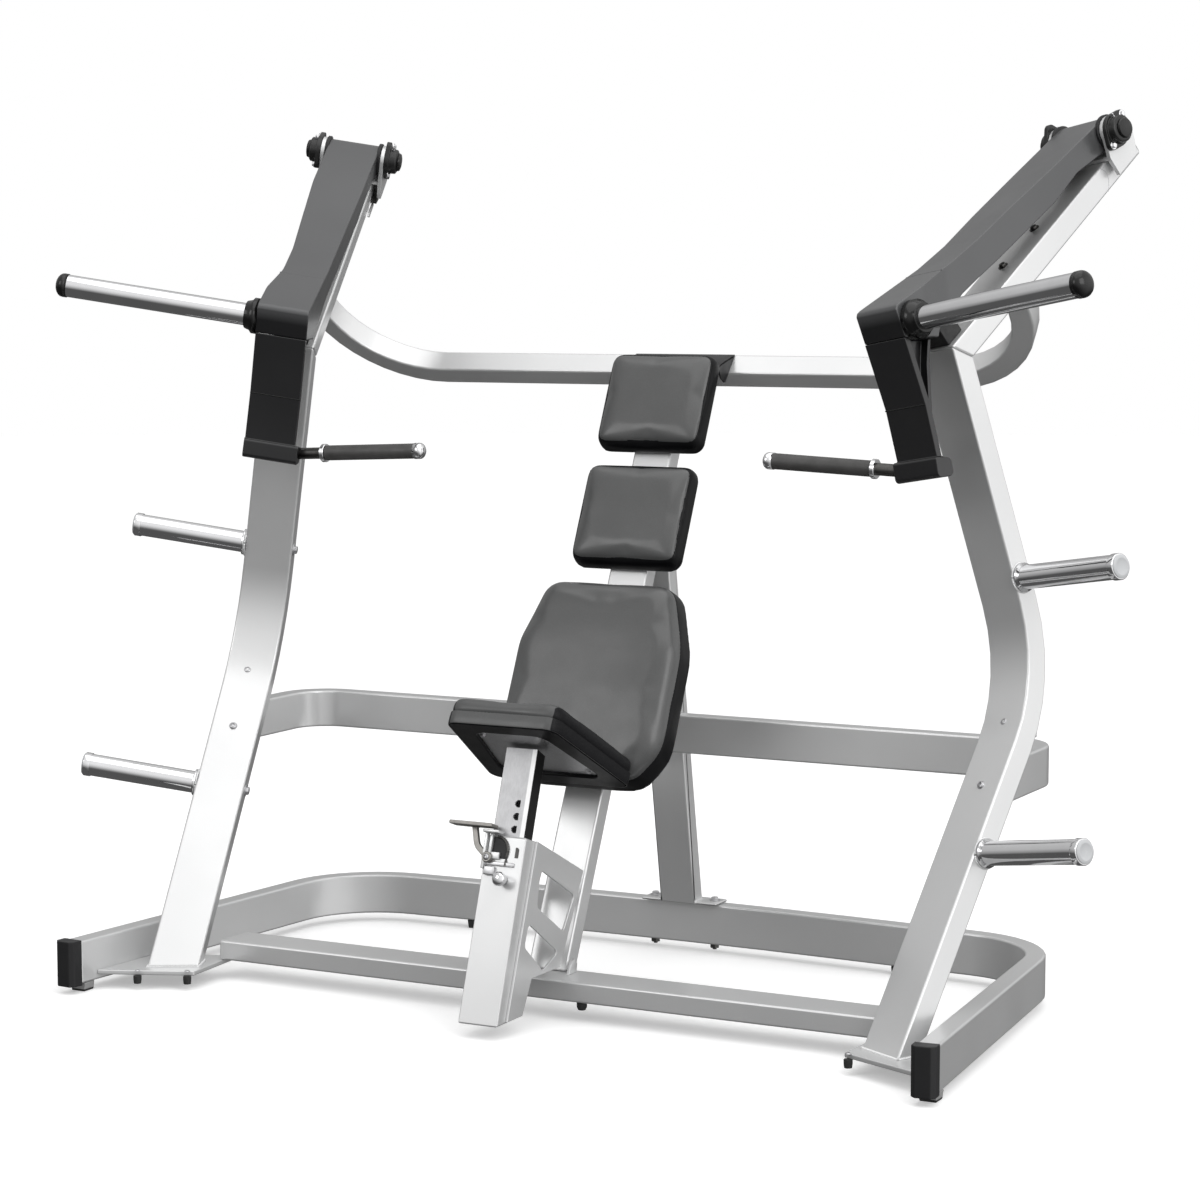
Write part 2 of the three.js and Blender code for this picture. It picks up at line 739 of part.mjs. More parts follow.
function gripEnd() {
  const start = GRIP_END + GAP;
  const profile = [[start, 0], [start, GRIP_R + 1], [start + 12, GRIP_R + 1]];
  for (let i = 1; i <= 5; i += 1) {
    const angle = (90 * i * DEG) / 5;
    profile.push([start + 12 + 12 * Math.sin(angle), i === 5 ? 0 : (GRIP_R + 1) * Math.cos(angle)]);
  }
  return turned(profile, 24);
}
onBothSides('grip_end', alongHandle(gripEnd()), CHROME);

// Rubber block at the knee that the arm rests on.
function armStop() {
  const base = tubeTop + GAP;
  const kneeFront = tubeTop * kneeShear * -1;
  const start = kneeFront + 8;
  const outline = [
    onLean(start, base),
    onLean(start + 52, base),
    onLean(start + 52, base + 47.3),
    onLean(start, base + 44.3),
  ];
  return sidePrism(outline, SIDE_X - 40, SIDE_X + 40);
}
onBothSides('arm_stop', armStop(), RUBBER);

// ---------------------------------------------------------------- back rail and pads

const railBack = Math.tan(BACK_LEAN);
const railCentre = [BACK_ORIGIN[0] + RAIL_D / 2 / Math.cos(BACK_LEAN), BACK_ORIGIN[1]];
function railY(z) {
  return railCentre[0] + (z - railCentre[1]) * railBack;
}
const RAIL_TOP = 1352;
function backRail() {
  const line = [[railY(20), 20], [railY(RAIL_TOP), RAIL_TOP]];
  const rail = sidePrism(strip(line, [0, 0], RAIL_D), -RAIL_W / 2, RAIL_W / 2);
  const slab = new THREE.BoxGeometry(400, 400, 200);
  slab.translate(0, railY(0), FRONT_BAR.z1 + GAP - 100);
  return cut(rail, slab);
}
addMesh(machine, 'back_rail', backRail(), PAINT);

const STRUT_FOOT = [417, FOOT_H + BASE_H + GAP];
const STRUT_SLOPE = 0.18;
const STRUT_D = 42;
const STRUT_TOP = 985;
function strutY(z) {
  return STRUT_FOOT[0] - (z - STRUT_FOOT[1]) * STRUT_SLOPE;
}
function rearStrut() {
  const line = [[strutY(60), 60], [strutY(STRUT_TOP), STRUT_TOP]];
  const tube = sidePrism(strip(line, [0, 0], STRUT_D), -43, 43);
  const slab = new THREE.BoxGeometry(400, 400, 200).translate(0, STRUT_FOOT[0], STRUT_FOOT[1] - 100);
  const plate = new THREE.BoxGeometry(190, 64, 7).translate(0, STRUT_FOOT[0] + 12, STRUT_FOOT[1] + 3.5);
  const link = sidePrism(
    [[railY(STRUT_TOP) + 10, STRUT_TOP - 46], [strutY(STRUT_TOP), STRUT_TOP - 46],
      [strutY(STRUT_TOP), STRUT_TOP - 4], [railY(STRUT_TOP) + 10, STRUT_TOP - 4]],
    -30,
    30,
  );
  const railGrown = sidePrism(
    strip([[railY(700), 700], [railY(1200), 1200]], [0, 0], RAIL_D + 2 * GAP),
    -60,
    60,
  );
  return cut(join(cut(tube, slab), plate, link), railGrown);
}
addMesh(machine, 'rear_strut', rearStrut(), PAINT);

// Pads lie on the rail: local Z runs up the rail and local -Y is the front.
const back = new THREE.Group();
back.position.set(0, BACK_ORIGIN[0], BACK_ORIGIN[1]);
back.rotation.x = -BACK_LEAN;
machine.add(back);

const PAD_T = 53;
const LOWER_PAD_T = 92;
function pad(half, z0, z1, thickness, corner) {
  const outline = rounded(
    [[-half, z0], [half, z0], [half, z1], [-half, z1]],
    [corner, corner, corner, corner],
  );
  return frontPrism(outline, -thickness, -GAP);
}
addMesh(back, 'middle_back_pad', pad(134, -130, 114, PAD_T, 26), VINYL);
addMesh(back, 'head_pad', pad(131, 148, 378, PAD_T, 26), VINYL);

// Lower pad: narrow shoulders widening to the hips.
function lowerPad() {
  const half = [[150, -630], [201, -555], [200, -320], [153, -175]];
  const mirrored = half.map(([x, z]) => [-x, z]).reverse();
  const outline = rounded(half.concat(mirrored), [60, 90, 110, 50, 50, 110, 90, 60]);
  return frontPrism(outline, -LOWER_PAD_T, -GAP);
}
addMesh(back, 'lower_back_pad', lowerPad(), VINYL);

// ---------------------------------------------------------------- seat

// Post and slide share a leaning axis: local Z runs up it and local -Y is the front.
const post = new THREE.Group();
post.position.set(0, POST_TOP[0], POST_TOP[1]);
post.rotation.x = -POST_LEAN;
machine.add(post);

const SLIDE_W = 74;
const SLIDE_D = 36;
const SLIDE_CLEAR = 1;
const PIN_X = 10;
const PIN_Z = -92;
const PIN_R = 5;
// D-shaped locking hole, a little wider than the pin.
const HOLE_SHAPE = [[6, -7.5], [6, 7.5], [-1, 7.5], [-6.5, 2.5], [-6.5, -2.5], [-1, -7.5]];
const HOLE_CORNERS = [1.5, 1.5, 1.5, 3, 3, 1.5];
const HOLE_PITCH = 27;

function throughFront(x, z, radius, y0, y1) {
  return frontPrism(circle(x, z, radius, 20), y0, y1);
}

function seatPost() {
  const outer = box2(-POST_W / 2, -POST_D / 2, POST_W / 2, POST_D / 2);
  const bw = SLIDE_W / 2 + SLIDE_CLEAR;
  const bd = SLIDE_D / 2 + SLIDE_CLEAR;
  const bore = box2(-bw, -bd, bw, bd).reverse();
  const tube = prism(outer, -450, 0, [bore]);
  const below = new THREE.BoxGeometry(400, 800, 200).translate(0, POST_TOP[0], POST_FOOT_Z - 100);
  below.applyMatrix4(postInverse);
  return cut(tube, below, throughFront(PIN_X, PIN_Z, PIN_R + 1, -60, 0));
}

// Inner tube with a row of height holes; its head is cut to the slope of the seat.
const SEAT_T = 66;
const PAN_T = 24;
const CUSHION_T = SEAT_T - PAN_T;
const SLIDE_BELOW = 215;
function seatSlide() {
  const wall = 5;
  const outer = box2(-SLIDE_W / 2, -SLIDE_D / 2, SLIDE_W / 2, SLIDE_D / 2);
  const inner = box2(-SLIDE_W / 2 + wall, -SLIDE_D / 2 + wall, SLIDE_W / 2 - wall, SLIDE_D / 2 - wall);
  const tube = prism(outer, -SLIDE_BELOW, 300, [inner.reverse()]);
  const holes = [];
  for (let i = -2; i <= 6; i += 1) {
    const level = PIN_Z + i * HOLE_PITCH;
    const outline = HOLE_SHAPE.map(([x, z]) => [PIN_X + x, level + z]);
    holes.push(frontPrism(rounded(outline, HOLE_CORNERS), -40, 0));
  }
  const cutter = seatBox(-200, 600, -500, SEAT_T + 2 * GAP).applyMatrix4(postInverse);
  return cut(tube, ...holes, cutter);
}

// Seat frame: local Y runs back down the slope, local Z is square to it.
const seat = new THREE.Group();
seat.position.set(0, SEAT_FRONT[0], SEAT_FRONT[1]);
seat.rotation.x = -SEAT_TILT;
machine.add(seat);
seat.updateMatrix();
post.updateMatrix();
const seatMatrix = seat.matrix.clone();
const postInverse = post.matrix.clone().invert();

// Slab above the underside of the seat, in the machine's frame.
function seatBox(y0, y1, above, below) {
  const slab = new THREE.BoxGeometry(600, y1 - y0, below - above);
  slab.translate(0, (y0 + y1) / 2, -(above + below) / 2);
  return slab.applyMatrix4(seatMatrix);
}
addMesh(post, 'seat_post', seatPost(), PAINT);
addMesh(post, 'seat_slide', seatSlide(), STEEL);

const SEAT_LENGTH = 318;
function seatOutline(inset) {
  const front = 128 - inset;
  const rear = 170 - inset;
  const points = [
    [-rear, SEAT_LENGTH - inset],
    [-front, inset],
    [front, inset],
    [rear, SEAT_LENGTH - inset],
  ];
  return rounded(points, [26, 30, 30, 26]);
}
addMesh(seat, 'seat_cushion', prism(seatOutline(0), -CUSHION_T, 0), VINYL);

// Pan: a rim under the cushion with a recessed steel plate that the slide is welded to.
function seatPan() {
  const rim = prism(seatOutline(4), -SEAT_T, -CUSHION_T - GAP);
  const recess = prism(seatOutline(48), -SEAT_T - 5, -SEAT_T + 9);
  return cut(rim, recess);
}
const pan = seatPan();
addMesh(seat, 'seat_pan', pan, BLACK);

// Windowed side plates between the post and the back rail.
const BRACE_T = 5;
function bracePlate() {
  const outline = [
    [-374, 388],
    [-505, 34],
    [-440, 34],
    [-400, 104],
    [-276, 104],
    [-170, 292],
  ];
  const upper = rounded([[-360, 326], [-376, 250], [-262, 178], [-212, 246]], [12, 14, 8, 8]);
  const lower = rounded([[-412, 222], [-430, 176], [-352, 112], [-284, 138]], [10, 12, 8, 8]);
  return { outline, upper, lower };
}
for (const side of sides) {
  const shape = bracePlate();
  const near = POST_W / 2 + GAP;
  const plate = sidePrism(shape.outline, near, near + BRACE_T, [shape.upper, shape.lower]);
  addMesh(side.world, `brace_plate_${side.name}`, plate, PAINT);
}

// Locking pin with its pull knob, square to the front of the post.
const POST_FRONT = -POST_D / 2;
function seatPin() {
  const profile = [
    [-16, 0],
    [-16, PIN_R],
    [GAP * 2, PIN_R],
    [GAP * 2, 9],
    [10, 9],
    [12, 13],
    [26, 15],
    [31, 11],
    [32, 0],
  ];
  const pin = turned(profile, 24);
  pin.rotateZ(-Math.PI / 2);
  return pin.translate(PIN_X, POST_FRONT, PIN_Z);
}
addMesh(post, 'seat_pin', seatPin(), CHROME);

// Hand lever: hub on the post front, curved arm up and out, flat paddle at the top.
const LEVER_HUB = [-34, -48];
function adjustLever() {
  const front = POST_FRONT - GAP * 2;
  const hub = frontPrism(circle(LEVER_HUB[0], LEVER_HUB[1], 11, 24), front - 12, front);
  const rib = strip([[-36, -46], [-62, -26], [-74, 16]], [0, 30, 0], 12);
  const curved = frontPrism(rib, front - 10, front - 1);
  const paddle = frontPrism(
    rounded([[-124, 12], [-22, 12], [-22, 20], [-124, 20]], [3, 3, 3, 3]),
    front - 30,
    front,
  );
  return join(hub, curved, paddle);
}
addMesh(post, 'adjust_lever', adjustLever(), STEEL);

// The origin goes on the floor under the middle of the whole machine.
const bounds = new THREE.Box3().setFromObject(machine, true);
machine.position.y = -(bounds.min.y + bounds.max.y) / 2;

export default machine;
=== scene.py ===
"""Chest press machine: materials, padding, fasteners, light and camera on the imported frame."""
import json
import math

import bmesh
import bpy
from mathutils import Matrix, Vector, noise


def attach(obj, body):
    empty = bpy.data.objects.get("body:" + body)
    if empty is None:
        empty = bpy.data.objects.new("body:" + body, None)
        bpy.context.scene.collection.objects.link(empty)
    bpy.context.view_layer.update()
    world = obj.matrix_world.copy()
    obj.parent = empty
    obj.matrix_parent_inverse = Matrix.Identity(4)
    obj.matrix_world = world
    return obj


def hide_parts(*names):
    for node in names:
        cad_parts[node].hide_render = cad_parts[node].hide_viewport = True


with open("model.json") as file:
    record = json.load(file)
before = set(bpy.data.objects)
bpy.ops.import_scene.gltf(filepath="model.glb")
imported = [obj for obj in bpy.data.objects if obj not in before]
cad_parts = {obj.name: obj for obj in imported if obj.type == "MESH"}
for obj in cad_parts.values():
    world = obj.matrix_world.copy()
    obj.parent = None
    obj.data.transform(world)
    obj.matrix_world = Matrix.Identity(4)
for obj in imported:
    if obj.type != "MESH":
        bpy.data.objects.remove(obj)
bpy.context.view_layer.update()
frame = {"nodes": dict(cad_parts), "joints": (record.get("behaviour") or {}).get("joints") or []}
nodes = frame["nodes"]
scene = bpy.context.scene

MM = 0.001
HANDS = {"right": 1, "left": -1}
UP = (0, 0, 1)
DOWN = (0, 0, -1)
YZ_PLANE = Matrix(((0, 0, 1, 0), (1, 0, 0, 0), (0, 1, 0, 0), (0, 0, 0, 1)))  # stands an outline in Y and Z

# ---------------------------------------------------------------- frames shared with the CAD

SIDE_YAW = math.radians(23.36)
SIDE_ROLL = math.radians(8.94)
SIDE_X = 930                          # centre plane of a side frame, along its own X
TUBE_HALF_W = 55
TUBE_HALF_D = 26
PIVOT = (812, 1722)                   # side-frame Y and Z
KNEE = (315, 1260)
LEAN_ANGLE = math.radians(37)
UPRIGHT_FOOT = (-65.3, -159)
UPRIGHT_ANGLE = math.atan2(589 + 159, 470 + 65.3)
SIDE = Matrix.Rotation(-SIDE_YAW, 4, "Z") @ Matrix.Rotation(-SIDE_ROLL, 4, "Y")

ARM_LIP = (134, 1347)                 # top of the arm's front face
ARM_FACE = (0.961, 0.278)             # square to that face, pointing into the arm
HANDLE_ROOT = (SIDE_X - 66, 236, 1034)
HANDLE_DIRECTION = (-0.915, -0.356, 0.186)

STORAGE_HORNS = ((420, 796), (233, 254))   # side-frame Y and Z of their axes
STORAGE_HORN_END = 1250.2
UPRIGHT_BOLTS_AT = (652, 800)         # along the upright, from its foot
LEAN_BOLTS_AT = (271, 404)            # along the leaning tube, from the knee
LEAN_TUBE_END = 738
BEARING_FACE = 89.6                   # out from the side frame's centre plane
BEARING_BOSS = 108.6

right_press = next(j for j in frame["joints"] if j["name"] == "right_press")
pivot_point = SIDE @ Vector((SIDE_X, PIVOT[0], PIVOT[1])) * MM
ORIGIN_Y = right_press["pos_m"][1] - pivot_point.y

BACK_LEAN = math.radians(25)
BACK_ORIGIN = (193, 1019)             # front face of the back rail
SEAT_TILT = math.radians(30)
SEAT_FRONT = (-415, 692)
POST_LEAN = math.radians(18.9)
POST_TOP = (-389, 393)


def in_metres(matrix):
    """A frame given in millimetres, moved to the machine's origin and scaled to metres."""
    return Matrix.Translation((0, ORIGIN_Y, 0)) @ Matrix.Scale(MM, 4) @ matrix


def side_frame(hand):
    return in_metres(Matrix.Diagonal((hand, 1, 1, 1)) @ SIDE)


def leaning_frame(origin, lean):
    return in_metres(Matrix.Translation((0, origin[0], origin[1])) @ Matrix.Rotation(-lean, 4, "X"))


BACK = leaning_frame(BACK_ORIGIN, BACK_LEAN)
SEAT = leaning_frame(SEAT_FRONT, SEAT_TILT)
POST = leaning_frame(POST_TOP, POST_LEAN)
FLOOR = in_metres(Matrix())


def along_tube(start, angle, along, up):
    """Side-frame Y and Z of a point along a tube and above its centreline."""
    return (
        start[0] + along * math.cos(angle) - up * math.sin(angle),
        start[1] + along * math.sin(angle) + up * math.cos(angle),
    )


def facing(point, normal, turn=0.0):
    """Matrix whose Z points along normal at a point."""
    rotation = Vector(normal).to_track_quat("Z", "Y").to_matrix().to_4x4()
    return Matrix.Translation(point) @ rotation @ Matrix.Rotation(turn, 4, "Z")


# ---------------------------------------------------------------- materials

def configure(thing, **settings):
    """Sets several properties of a node, modifier or group of settings."""
    for key, value in settings.items():
        setattr(thing, key, value)
    return thing


def modify(obj, kind, **settings):
    return configure(obj.modifiers.new(kind.lower(), kind), **settings)


class Nodes:
    """The node tree of a new material, or of a world, with short calls for the nodes used here."""

    def __init__(self, name, world=None):
        self.owner = world or bpy.data.materials.new(name)
        self.owner.use_nodes = True
        self.tree = self.owner.node_tree
        self.shader = self.tree.nodes.get("Principled BSDF")
        where = self.add("ShaderNodeTexCoord")
        self.place = where.outputs["Object"]
        self.facing = where.outputs["Normal"]
        self.around = where.outputs["Generated"]

    def add(self, kind, inputs=None, **settings):
        """A new node; each of its inputs is given a number or linked to an output."""
        node = configure(self.tree.nodes.new(kind), **settings)
        for key, value in (inputs or {}).items():
            if isinstance(value, bpy.types.NodeSocket):
                self.link(value, node.inputs[key])
            else:
                node.inputs[key].default_value = value
        return node

    def link(self, source, target):
        self.tree.links.new(source, target)

    def noise(self, scale, detail=3.0, rough=0.5, stretch=None):
        source = self.place
        if stretch:
            source = self.add("ShaderNodeMapping", {"Scale": stretch, "Vector": source}).outputs["Vector"]
        inputs = {"Scale": scale, "Detail": detail, "Roughness": rough, "Vector": source}
        return self.add("ShaderNodeTexNoise", inputs).outputs["Fac"]

    def cells(self, scale, feature="F1"):
        inputs = {"Scale": scale, "Vector": self.place}
        return self.add("ShaderNodeTexVoronoi", inputs, feature=feature).outputs["Distance"]

    def spread(self, source, low, high, start=0.3, end=0.7):
        """A value between low and high as source goes from start to end."""
        inputs = {"Value": source, "From Min": start, "From Max": end, "To Min": low, "To Max": high}
        return self.add("ShaderNodeMapRange", inputs, clamp=True).outputs["Result"]

    def mix(self, factor, first, second):
        node = self.add("ShaderNodeMix", data_type="RGBA")
        self.link(factor, node.inputs["Factor"])
        colours = [socket for socket in node.inputs if socket.type == "RGBA"]
        for socket, value in zip(colours, (first, second)):
            if isinstance(value, tuple):
                socket.default_value = (*value, 1.0)
            else:
                self.link(value, socket)
        return next(socket for socket in node.outputs if socket.type == "RGBA")

    def chips(self, low, high, scale=85):
        """Sparse small chips and rubs: 1 where the surface is worn."""
        return self.spread(self.noise(scale, 6, 0.6), 0.0, 1.0, low, high)

    def along(self, vector, direction):
        """How far a position lies along a fixed direction."""
        inputs = {0: vector, 1: direction}
        return self.add("ShaderNodeVectorMath", inputs, operation="DOT_PRODUCT").outputs["Value"]

    def axes(self, vector):
        """The X, Y and Z of a vector, by letter."""
        return self.add("ShaderNodeSeparateXYZ", {"Vector": vector}).outputs

    def math(self, operation, *values):
        inputs = dict(enumerate(values))
        return self.add("ShaderNodeMath", inputs, operation=operation).outputs["Value"]

    def bump(self, height, strength, distance, before=None):
        inputs = {"Height": height, "Strength": strength, "Distance": distance}
        if before:
            inputs["Normal"] = before
        return self.add("ShaderNodeBump", inputs).outputs["Normal"]

    def finish(self, colour=None, roughness=None, normal=None, **fixed):
        shader = self.shader
        for key, source in (("Base Color", colour), ("Roughness", roughness), ("Normal", normal)):
            if source is not None:
                self.link(source, shader.inputs[key])
        for key, value in fixed.items():
            shader.inputs[key.replace("_", " ").title().replace("Ior", "IOR")].default_value = value
        return self.owner


def paint(name, base, shade, metallic, rough, coat, wear, chipped=0.0):
    """Sprayed paint: fine orange peel, slow colour drift, rubs, and chips where edges are worn."""
    n = Nodes(name)
    drift = n.mix(n.spread(n.noise(2.2, 4), 0.0, 1.0), base, shade)
    fleck = n.mix(n.spread(n.noise(380, 2), 0.0, 0.06, 0.5, 0.7), drift, tuple(1.2 * c for c in base))
    colour = n.mix(n.chips(0.90 - chipped, 0.95 - chipped), fleck, wear)
    roughness = n.spread(n.noise(7, 4), rough, rough + 0.07)
    peel = n.bump(n.noise(240, 2), 0.05, 0.0004)
    normal = n.bump(n.noise(90, 2, 0.5, stretch=(1.0, 1.0, 0.08)), 0.03, 0.0003, peel)
    return n.finish(
        colour, roughness, normal, metallic=metallic, coat_weight=coat, coat_roughness=0.12
    )


def arm_paint(name, base, shade, metallic, rough, coat, wear, chipped=0.0):
    """Arm finish: graphite paint, with painted shade: the arm's front face below its rolled lip is coloured
    near-black.
    """
    n = Nodes(name)
    axes = n.axes(n.place)
    away = n.math("ABSOLUTE", axes["X"])
    folded = n.add("ShaderNodeCombineXYZ", {"X": away, "Y": axes["Y"], "Z": axes["Z"]}).outputs["Vector"]
    back = SIDE.col[1].xyz
    up = SIDE.col[2].xyz
    inward = ARM_FACE[0] * back + ARM_FACE[1] * up
    behind = n.along(folded, inward)
    height = n.along(folded, up)
    face = (ARM_LIP[0] * ARM_FACE[0] + ARM_LIP[1] * ARM_FACE[1]) * MM + inward.y * ORIGIN_Y
    lip = ARM_LIP[1] * MM + up.y * ORIGIN_Y
    # Mask of the arm's front face below its lip, where the painted shade goes.
    front = n.spread(behind, 1.0, 0.0, face + 0.003, face + 0.006)
    lower = n.spread(height, 1.0, 0.0, lip - 0.026, lip - 0.006)
    drift = n.mix(n.spread(n.noise(2.2, 4), 0.0, 1.0), base, shade)
    rubbed = n.mix(n.chips(0.90 - chipped, 0.95 - chipped), drift, wear)
    # Painted shade: the masked front below the lip turns near-black, standing for the graphite arm in less
    # light.
    colour = n.mix(n.math("MULTIPLY", front, lower), rubbed, (0.011, 0.011, 0.012))
    roughness = n.spread(n.noise(7, 5), rough - 0.05, rough + 0.07)
    normal = n.bump(n.noise(240, 2), 0.06, 0.0004)
    return n.finish(
        colour, roughness, normal, metallic=metallic, coat_weight=coat, coat_roughness=0.12
    )


def chrome(name, base, rough):
    """Plated steel with faint polishing marks and light handling smears."""
    n = Nodes(name)
    smear = n.noise(9, 5, 0.6)
    colour = n.mix(n.spread(smear, 0.0, 0.6), base, tuple(0.86 * c for c in base))
    roughness = n.spread(n.noise(24, 6, 0.65), rough, rough + 0.09, 0.4, 0.75)
    normal = n.bump(n.noise(160, 2, 0.5, stretch=(1.0, 1.0, 0.2)), 0.03, 0.0003)
    return n.finish(colour, roughness, normal, metallic=1.0)


def brushed(name, base, rough):
    """Bare or zinc-plated steel, brushed along its length."""
    n = Nodes(name)
    lines = n.noise(260, 3, 0.6, stretch=(1.0, 1.0, 0.05))
    colour = n.mix(n.spread(lines, 0.0, 0.5), base, tuple(0.7 * c for c in base))
    roughness = n.spread(n.noise(30, 4), rough, rough + 0.12)
    return n.finish(colour, roughness, n.bump(lines, 0.10, 0.0003), metallic=1.0)


def slide_steel(name, base, side, rough):
    """Plated seat slide: brushed front, lighter along its +X edge, near-black sides."""
    n = Nodes(name)
    across = n.axes(n.place)["X"]
    lines = n.noise(260, 3, 0.6, stretch=(1.0, 1.0, 0.05))
    face = n.mix(n.spread(lines, 0.0, 0.5), base, tuple(0.75 * c for c in base))
    margin = n.mix(n.spread(across, 0.0, 1.0, 0.0255, 0.0265), face, (0.80, 0.80, 0.80))
    colour = n.mix(n.spread(n.math("ABSOLUTE", across), 0.0, 1.0, 0.0360, 0.0366), margin, side)
    roughness = n.spread(n.noise(30, 3), rough, rough + 0.05)
    return n.finish(colour, roughness, n.bump(lines, 0.03, 0.0002), metallic=0.6)


def shod(name, above, below, height):
    """Painted block on a rubber sole, split at one height above the floor."""
    n = Nodes(name)
    upper = n.spread(n.axes(n.place)["Z"], 0.0, 1.0, height, height + 0.0005)
    scuffed = n.mix(n.spread(n.noise(60, 5), 0.0, 0.4), above, tuple(0.7 * c for c in above))
    colour = n.mix(upper, below, scuffed)
    roughness = n.spread(n.noise(40, 4), 0.35, 0.55)
    return n.finish(colour, roughness, n.bump(n.noise(420, 3), 0.15, 0.0005))


def vinyl(name, base, worn, rough, gloss, panels=None):
    """Upholstery vinyl: pebbled grain, soft creases and a worn sheen.

    panels is the colour of the panels on the left and right sides of a cover that has them.
    """
    n = Nodes(name)
    wear = n.spread(n.noise(5, 5, 0.6), 0.0, 1.0, 0.42, 0.7)
    tint = n.mix(wear, base, worn)
    specular = n.shader.inputs["Specular IOR Level"]
    if panels:
        sideways = n.math("ABSOLUTE", n.axes(n.facing)["X"])
        tint = n.mix(n.spread(sideways, 0.0, 1.0, 0.50, 0.56), tint, panels)
        n.link(n.spread(sideways, gloss, 0.1, 0.50, 0.56), specular)
    else:
        specular.default_value = gloss
    grain = n.cells(520, "SMOOTH_F1")
    colour = n.mix(n.spread(grain, 0.25, 0.0, 0.1, 0.6), tint, tuple(0.55 * c for c in base))
    roughness = n.spread(n.noise(14, 5, 0.6), rough - 0.05, rough + 0.09)
    creases = n.bump(n.noise(16, 4, 0.55), 0.08, 0.004)
    normal = n.bump(grain, 0.20, 0.0005, creases)
    coat = 0.0 if panels else 0.7 * gloss
    return n.finish(colour, roughness, normal, coat_weight=coat, coat_roughness=0.18)


def rubber(name, base):
    """Moulded rubber: fine stipple, dusty high spots."""
    n = Nodes(name)
    dust = n.spread(n.noise(40, 6, 0.7), 0.0, 0.5, 0.5, 0.8)
    colour = n.mix(dust, base, tuple(2.2 * c + 0.01 for c in base))
    roughness = n.spread(n.noise(60, 4), 0.55, 0.75)
    return n.finish(colour, roughness, n.bump(n.cells(700), 0.35, 0.0006))


def knurled_rubber(name, base):
    """Grip foam with a fine raised cross-hatch."""
    n = Nodes(name)
    waves = []
    for turn in (0.785, -0.785):
        mapping = n.add("ShaderNodeMapping", {"Rotation": (0.0, turn, turn), "Vector": n.place})
        turned = mapping.outputs["Vector"]
        wave = n.add("ShaderNodeTexWave", {"Scale": 110, "Vector": turned}, wave_type="BANDS")
        waves.append(wave.outputs["Fac"])
    crossed = n.math("MULTIPLY", *waves)
    colour = n.mix(n.spread(n.noise(30, 4), 0.0, 1.0), base, tuple(1.5 * c for c in base))
    roughness = n.spread(n.noise(50, 4), 0.42, 0.6)
    return n.finish(colour, roughness, n.bump(crossed, 0.25, 0.0008))


def plastic(name, base, rough, coat=0.0):
    """Moulded plastic with a faint texture and scuffs."""
    n = Nodes(name)
    scuff = n.spread(n.noise(70, 5, 0.7, stretch=(1.0, 0.3, 1.0)), 0.0, 0.35, 0.6, 0.8)
    colour = n.mix(scuff, base, tuple(1.8 * c + 0.01 for c in base))
    roughness = n.spread(n.noise(35, 5), rough, rough + 0.12)
    normal = n.bump(n.noise(650, 2), 0.08, 0.0003)
    return n.finish(
        colour, roughness, normal, coat_weight=coat, coat_roughness=0.08, specular_ior_level=0.32
    )


def cast_iron(name, base):
    """Painted casting: lumpy skin under black enamel."""
    n = Nodes(name)
    lumps = n.noise(240, 5, 0.65)
    colour = n.mix(n.chips(0.68, 0.74, scale=70), base, (0.09, 0.09, 0.09))
    roughness = n.spread(n.noise(45, 4), 0.29, 0.42)
    normal = n.bump(lumps, 0.35, 0.0008)
    return n.finish(colour, roughness, normal, coat_weight=0.2, specular_ior_level=0.35)


# Paints: base colour, slow drift of it, metallic, roughness, clear coat.
SILVER = (0.700, 0.702, 0.702), (0.645, 0.648, 0.650), 0.55, 0.29, 0.35
GRAPHITE = (0.085, 0.086, 0.088), (0.072, 0.073, 0.075), 0.30, 0.34, 0.25
# Near-black copy of the graphite arm paint, for the arm drops: painted shade standing for graphite in less
# light.
DROP_SHADE_BLACK = (0.010, 0.010, 0.011), (0.015, 0.015, 0.016), 0.1, 0.29, 0.3
FRAME_PAINT = paint("frame_paint", *SILVER, (0.50, 0.50, 0.51))
FRAME_EDGE = paint("frame_edge", *SILVER, (0.46, 0.46, 0.47), 0.12)
ARM_PAINT = arm_paint("arm_paint", *GRAPHITE, (0.14, 0.14, 0.14))
ARM_EDGE = arm_paint("arm_edge", *GRAPHITE, (0.26, 0.26, 0.26), 0.14)
DROP_SHADE_PAINT = paint("black_paint", *DROP_SHADE_BLACK, (0.05, 0.05, 0.05))
DROP_SHADE_EDGE = paint("drop_shade_edge", *DROP_SHADE_BLACK, (0.12, 0.12, 0.12), 0.14)
CHROME = chrome("chrome", (0.80, 0.80, 0.81), 0.05)
ZINC = brushed("zinc", (0.55, 0.55, 0.56), 0.30)
STEEL = brushed("steel", (0.62, 0.62, 0.63), 0.30)
SLIDE = slide_steel("slide_steel", (0.52, 0.52, 0.53), (0.010, 0.010, 0.010), 0.38)
DARK_STEEL = brushed("dark_steel", (0.10, 0.098, 0.095), 0.34)
LEVER_STEEL = brushed("lever_steel", (0.30, 0.29, 0.275), 0.34)
IRON = cast_iron("cast_iron", (0.010, 0.010, 0.010))
RUBBER = rubber("rubber", (0.018, 0.018, 0.018))
FRONT_FOOT = shod("front_foot", (0.33, 0.33, 0.33), (0.018, 0.018, 0.018), 0.005)
GRIP = knurled_rubber("grip", (0.045, 0.044, 0.043))
BLACK_PLASTIC = plastic("black_plastic", (0.014, 0.014, 0.015), 0.38)
GREY_PLASTIC = plastic("grey_plastic", (0.52, 0.53, 0.54), 0.35)
GLOSS_BLACK = plastic("gloss_black", (0.006, 0.006, 0.006), 0.14, coat=0.15)
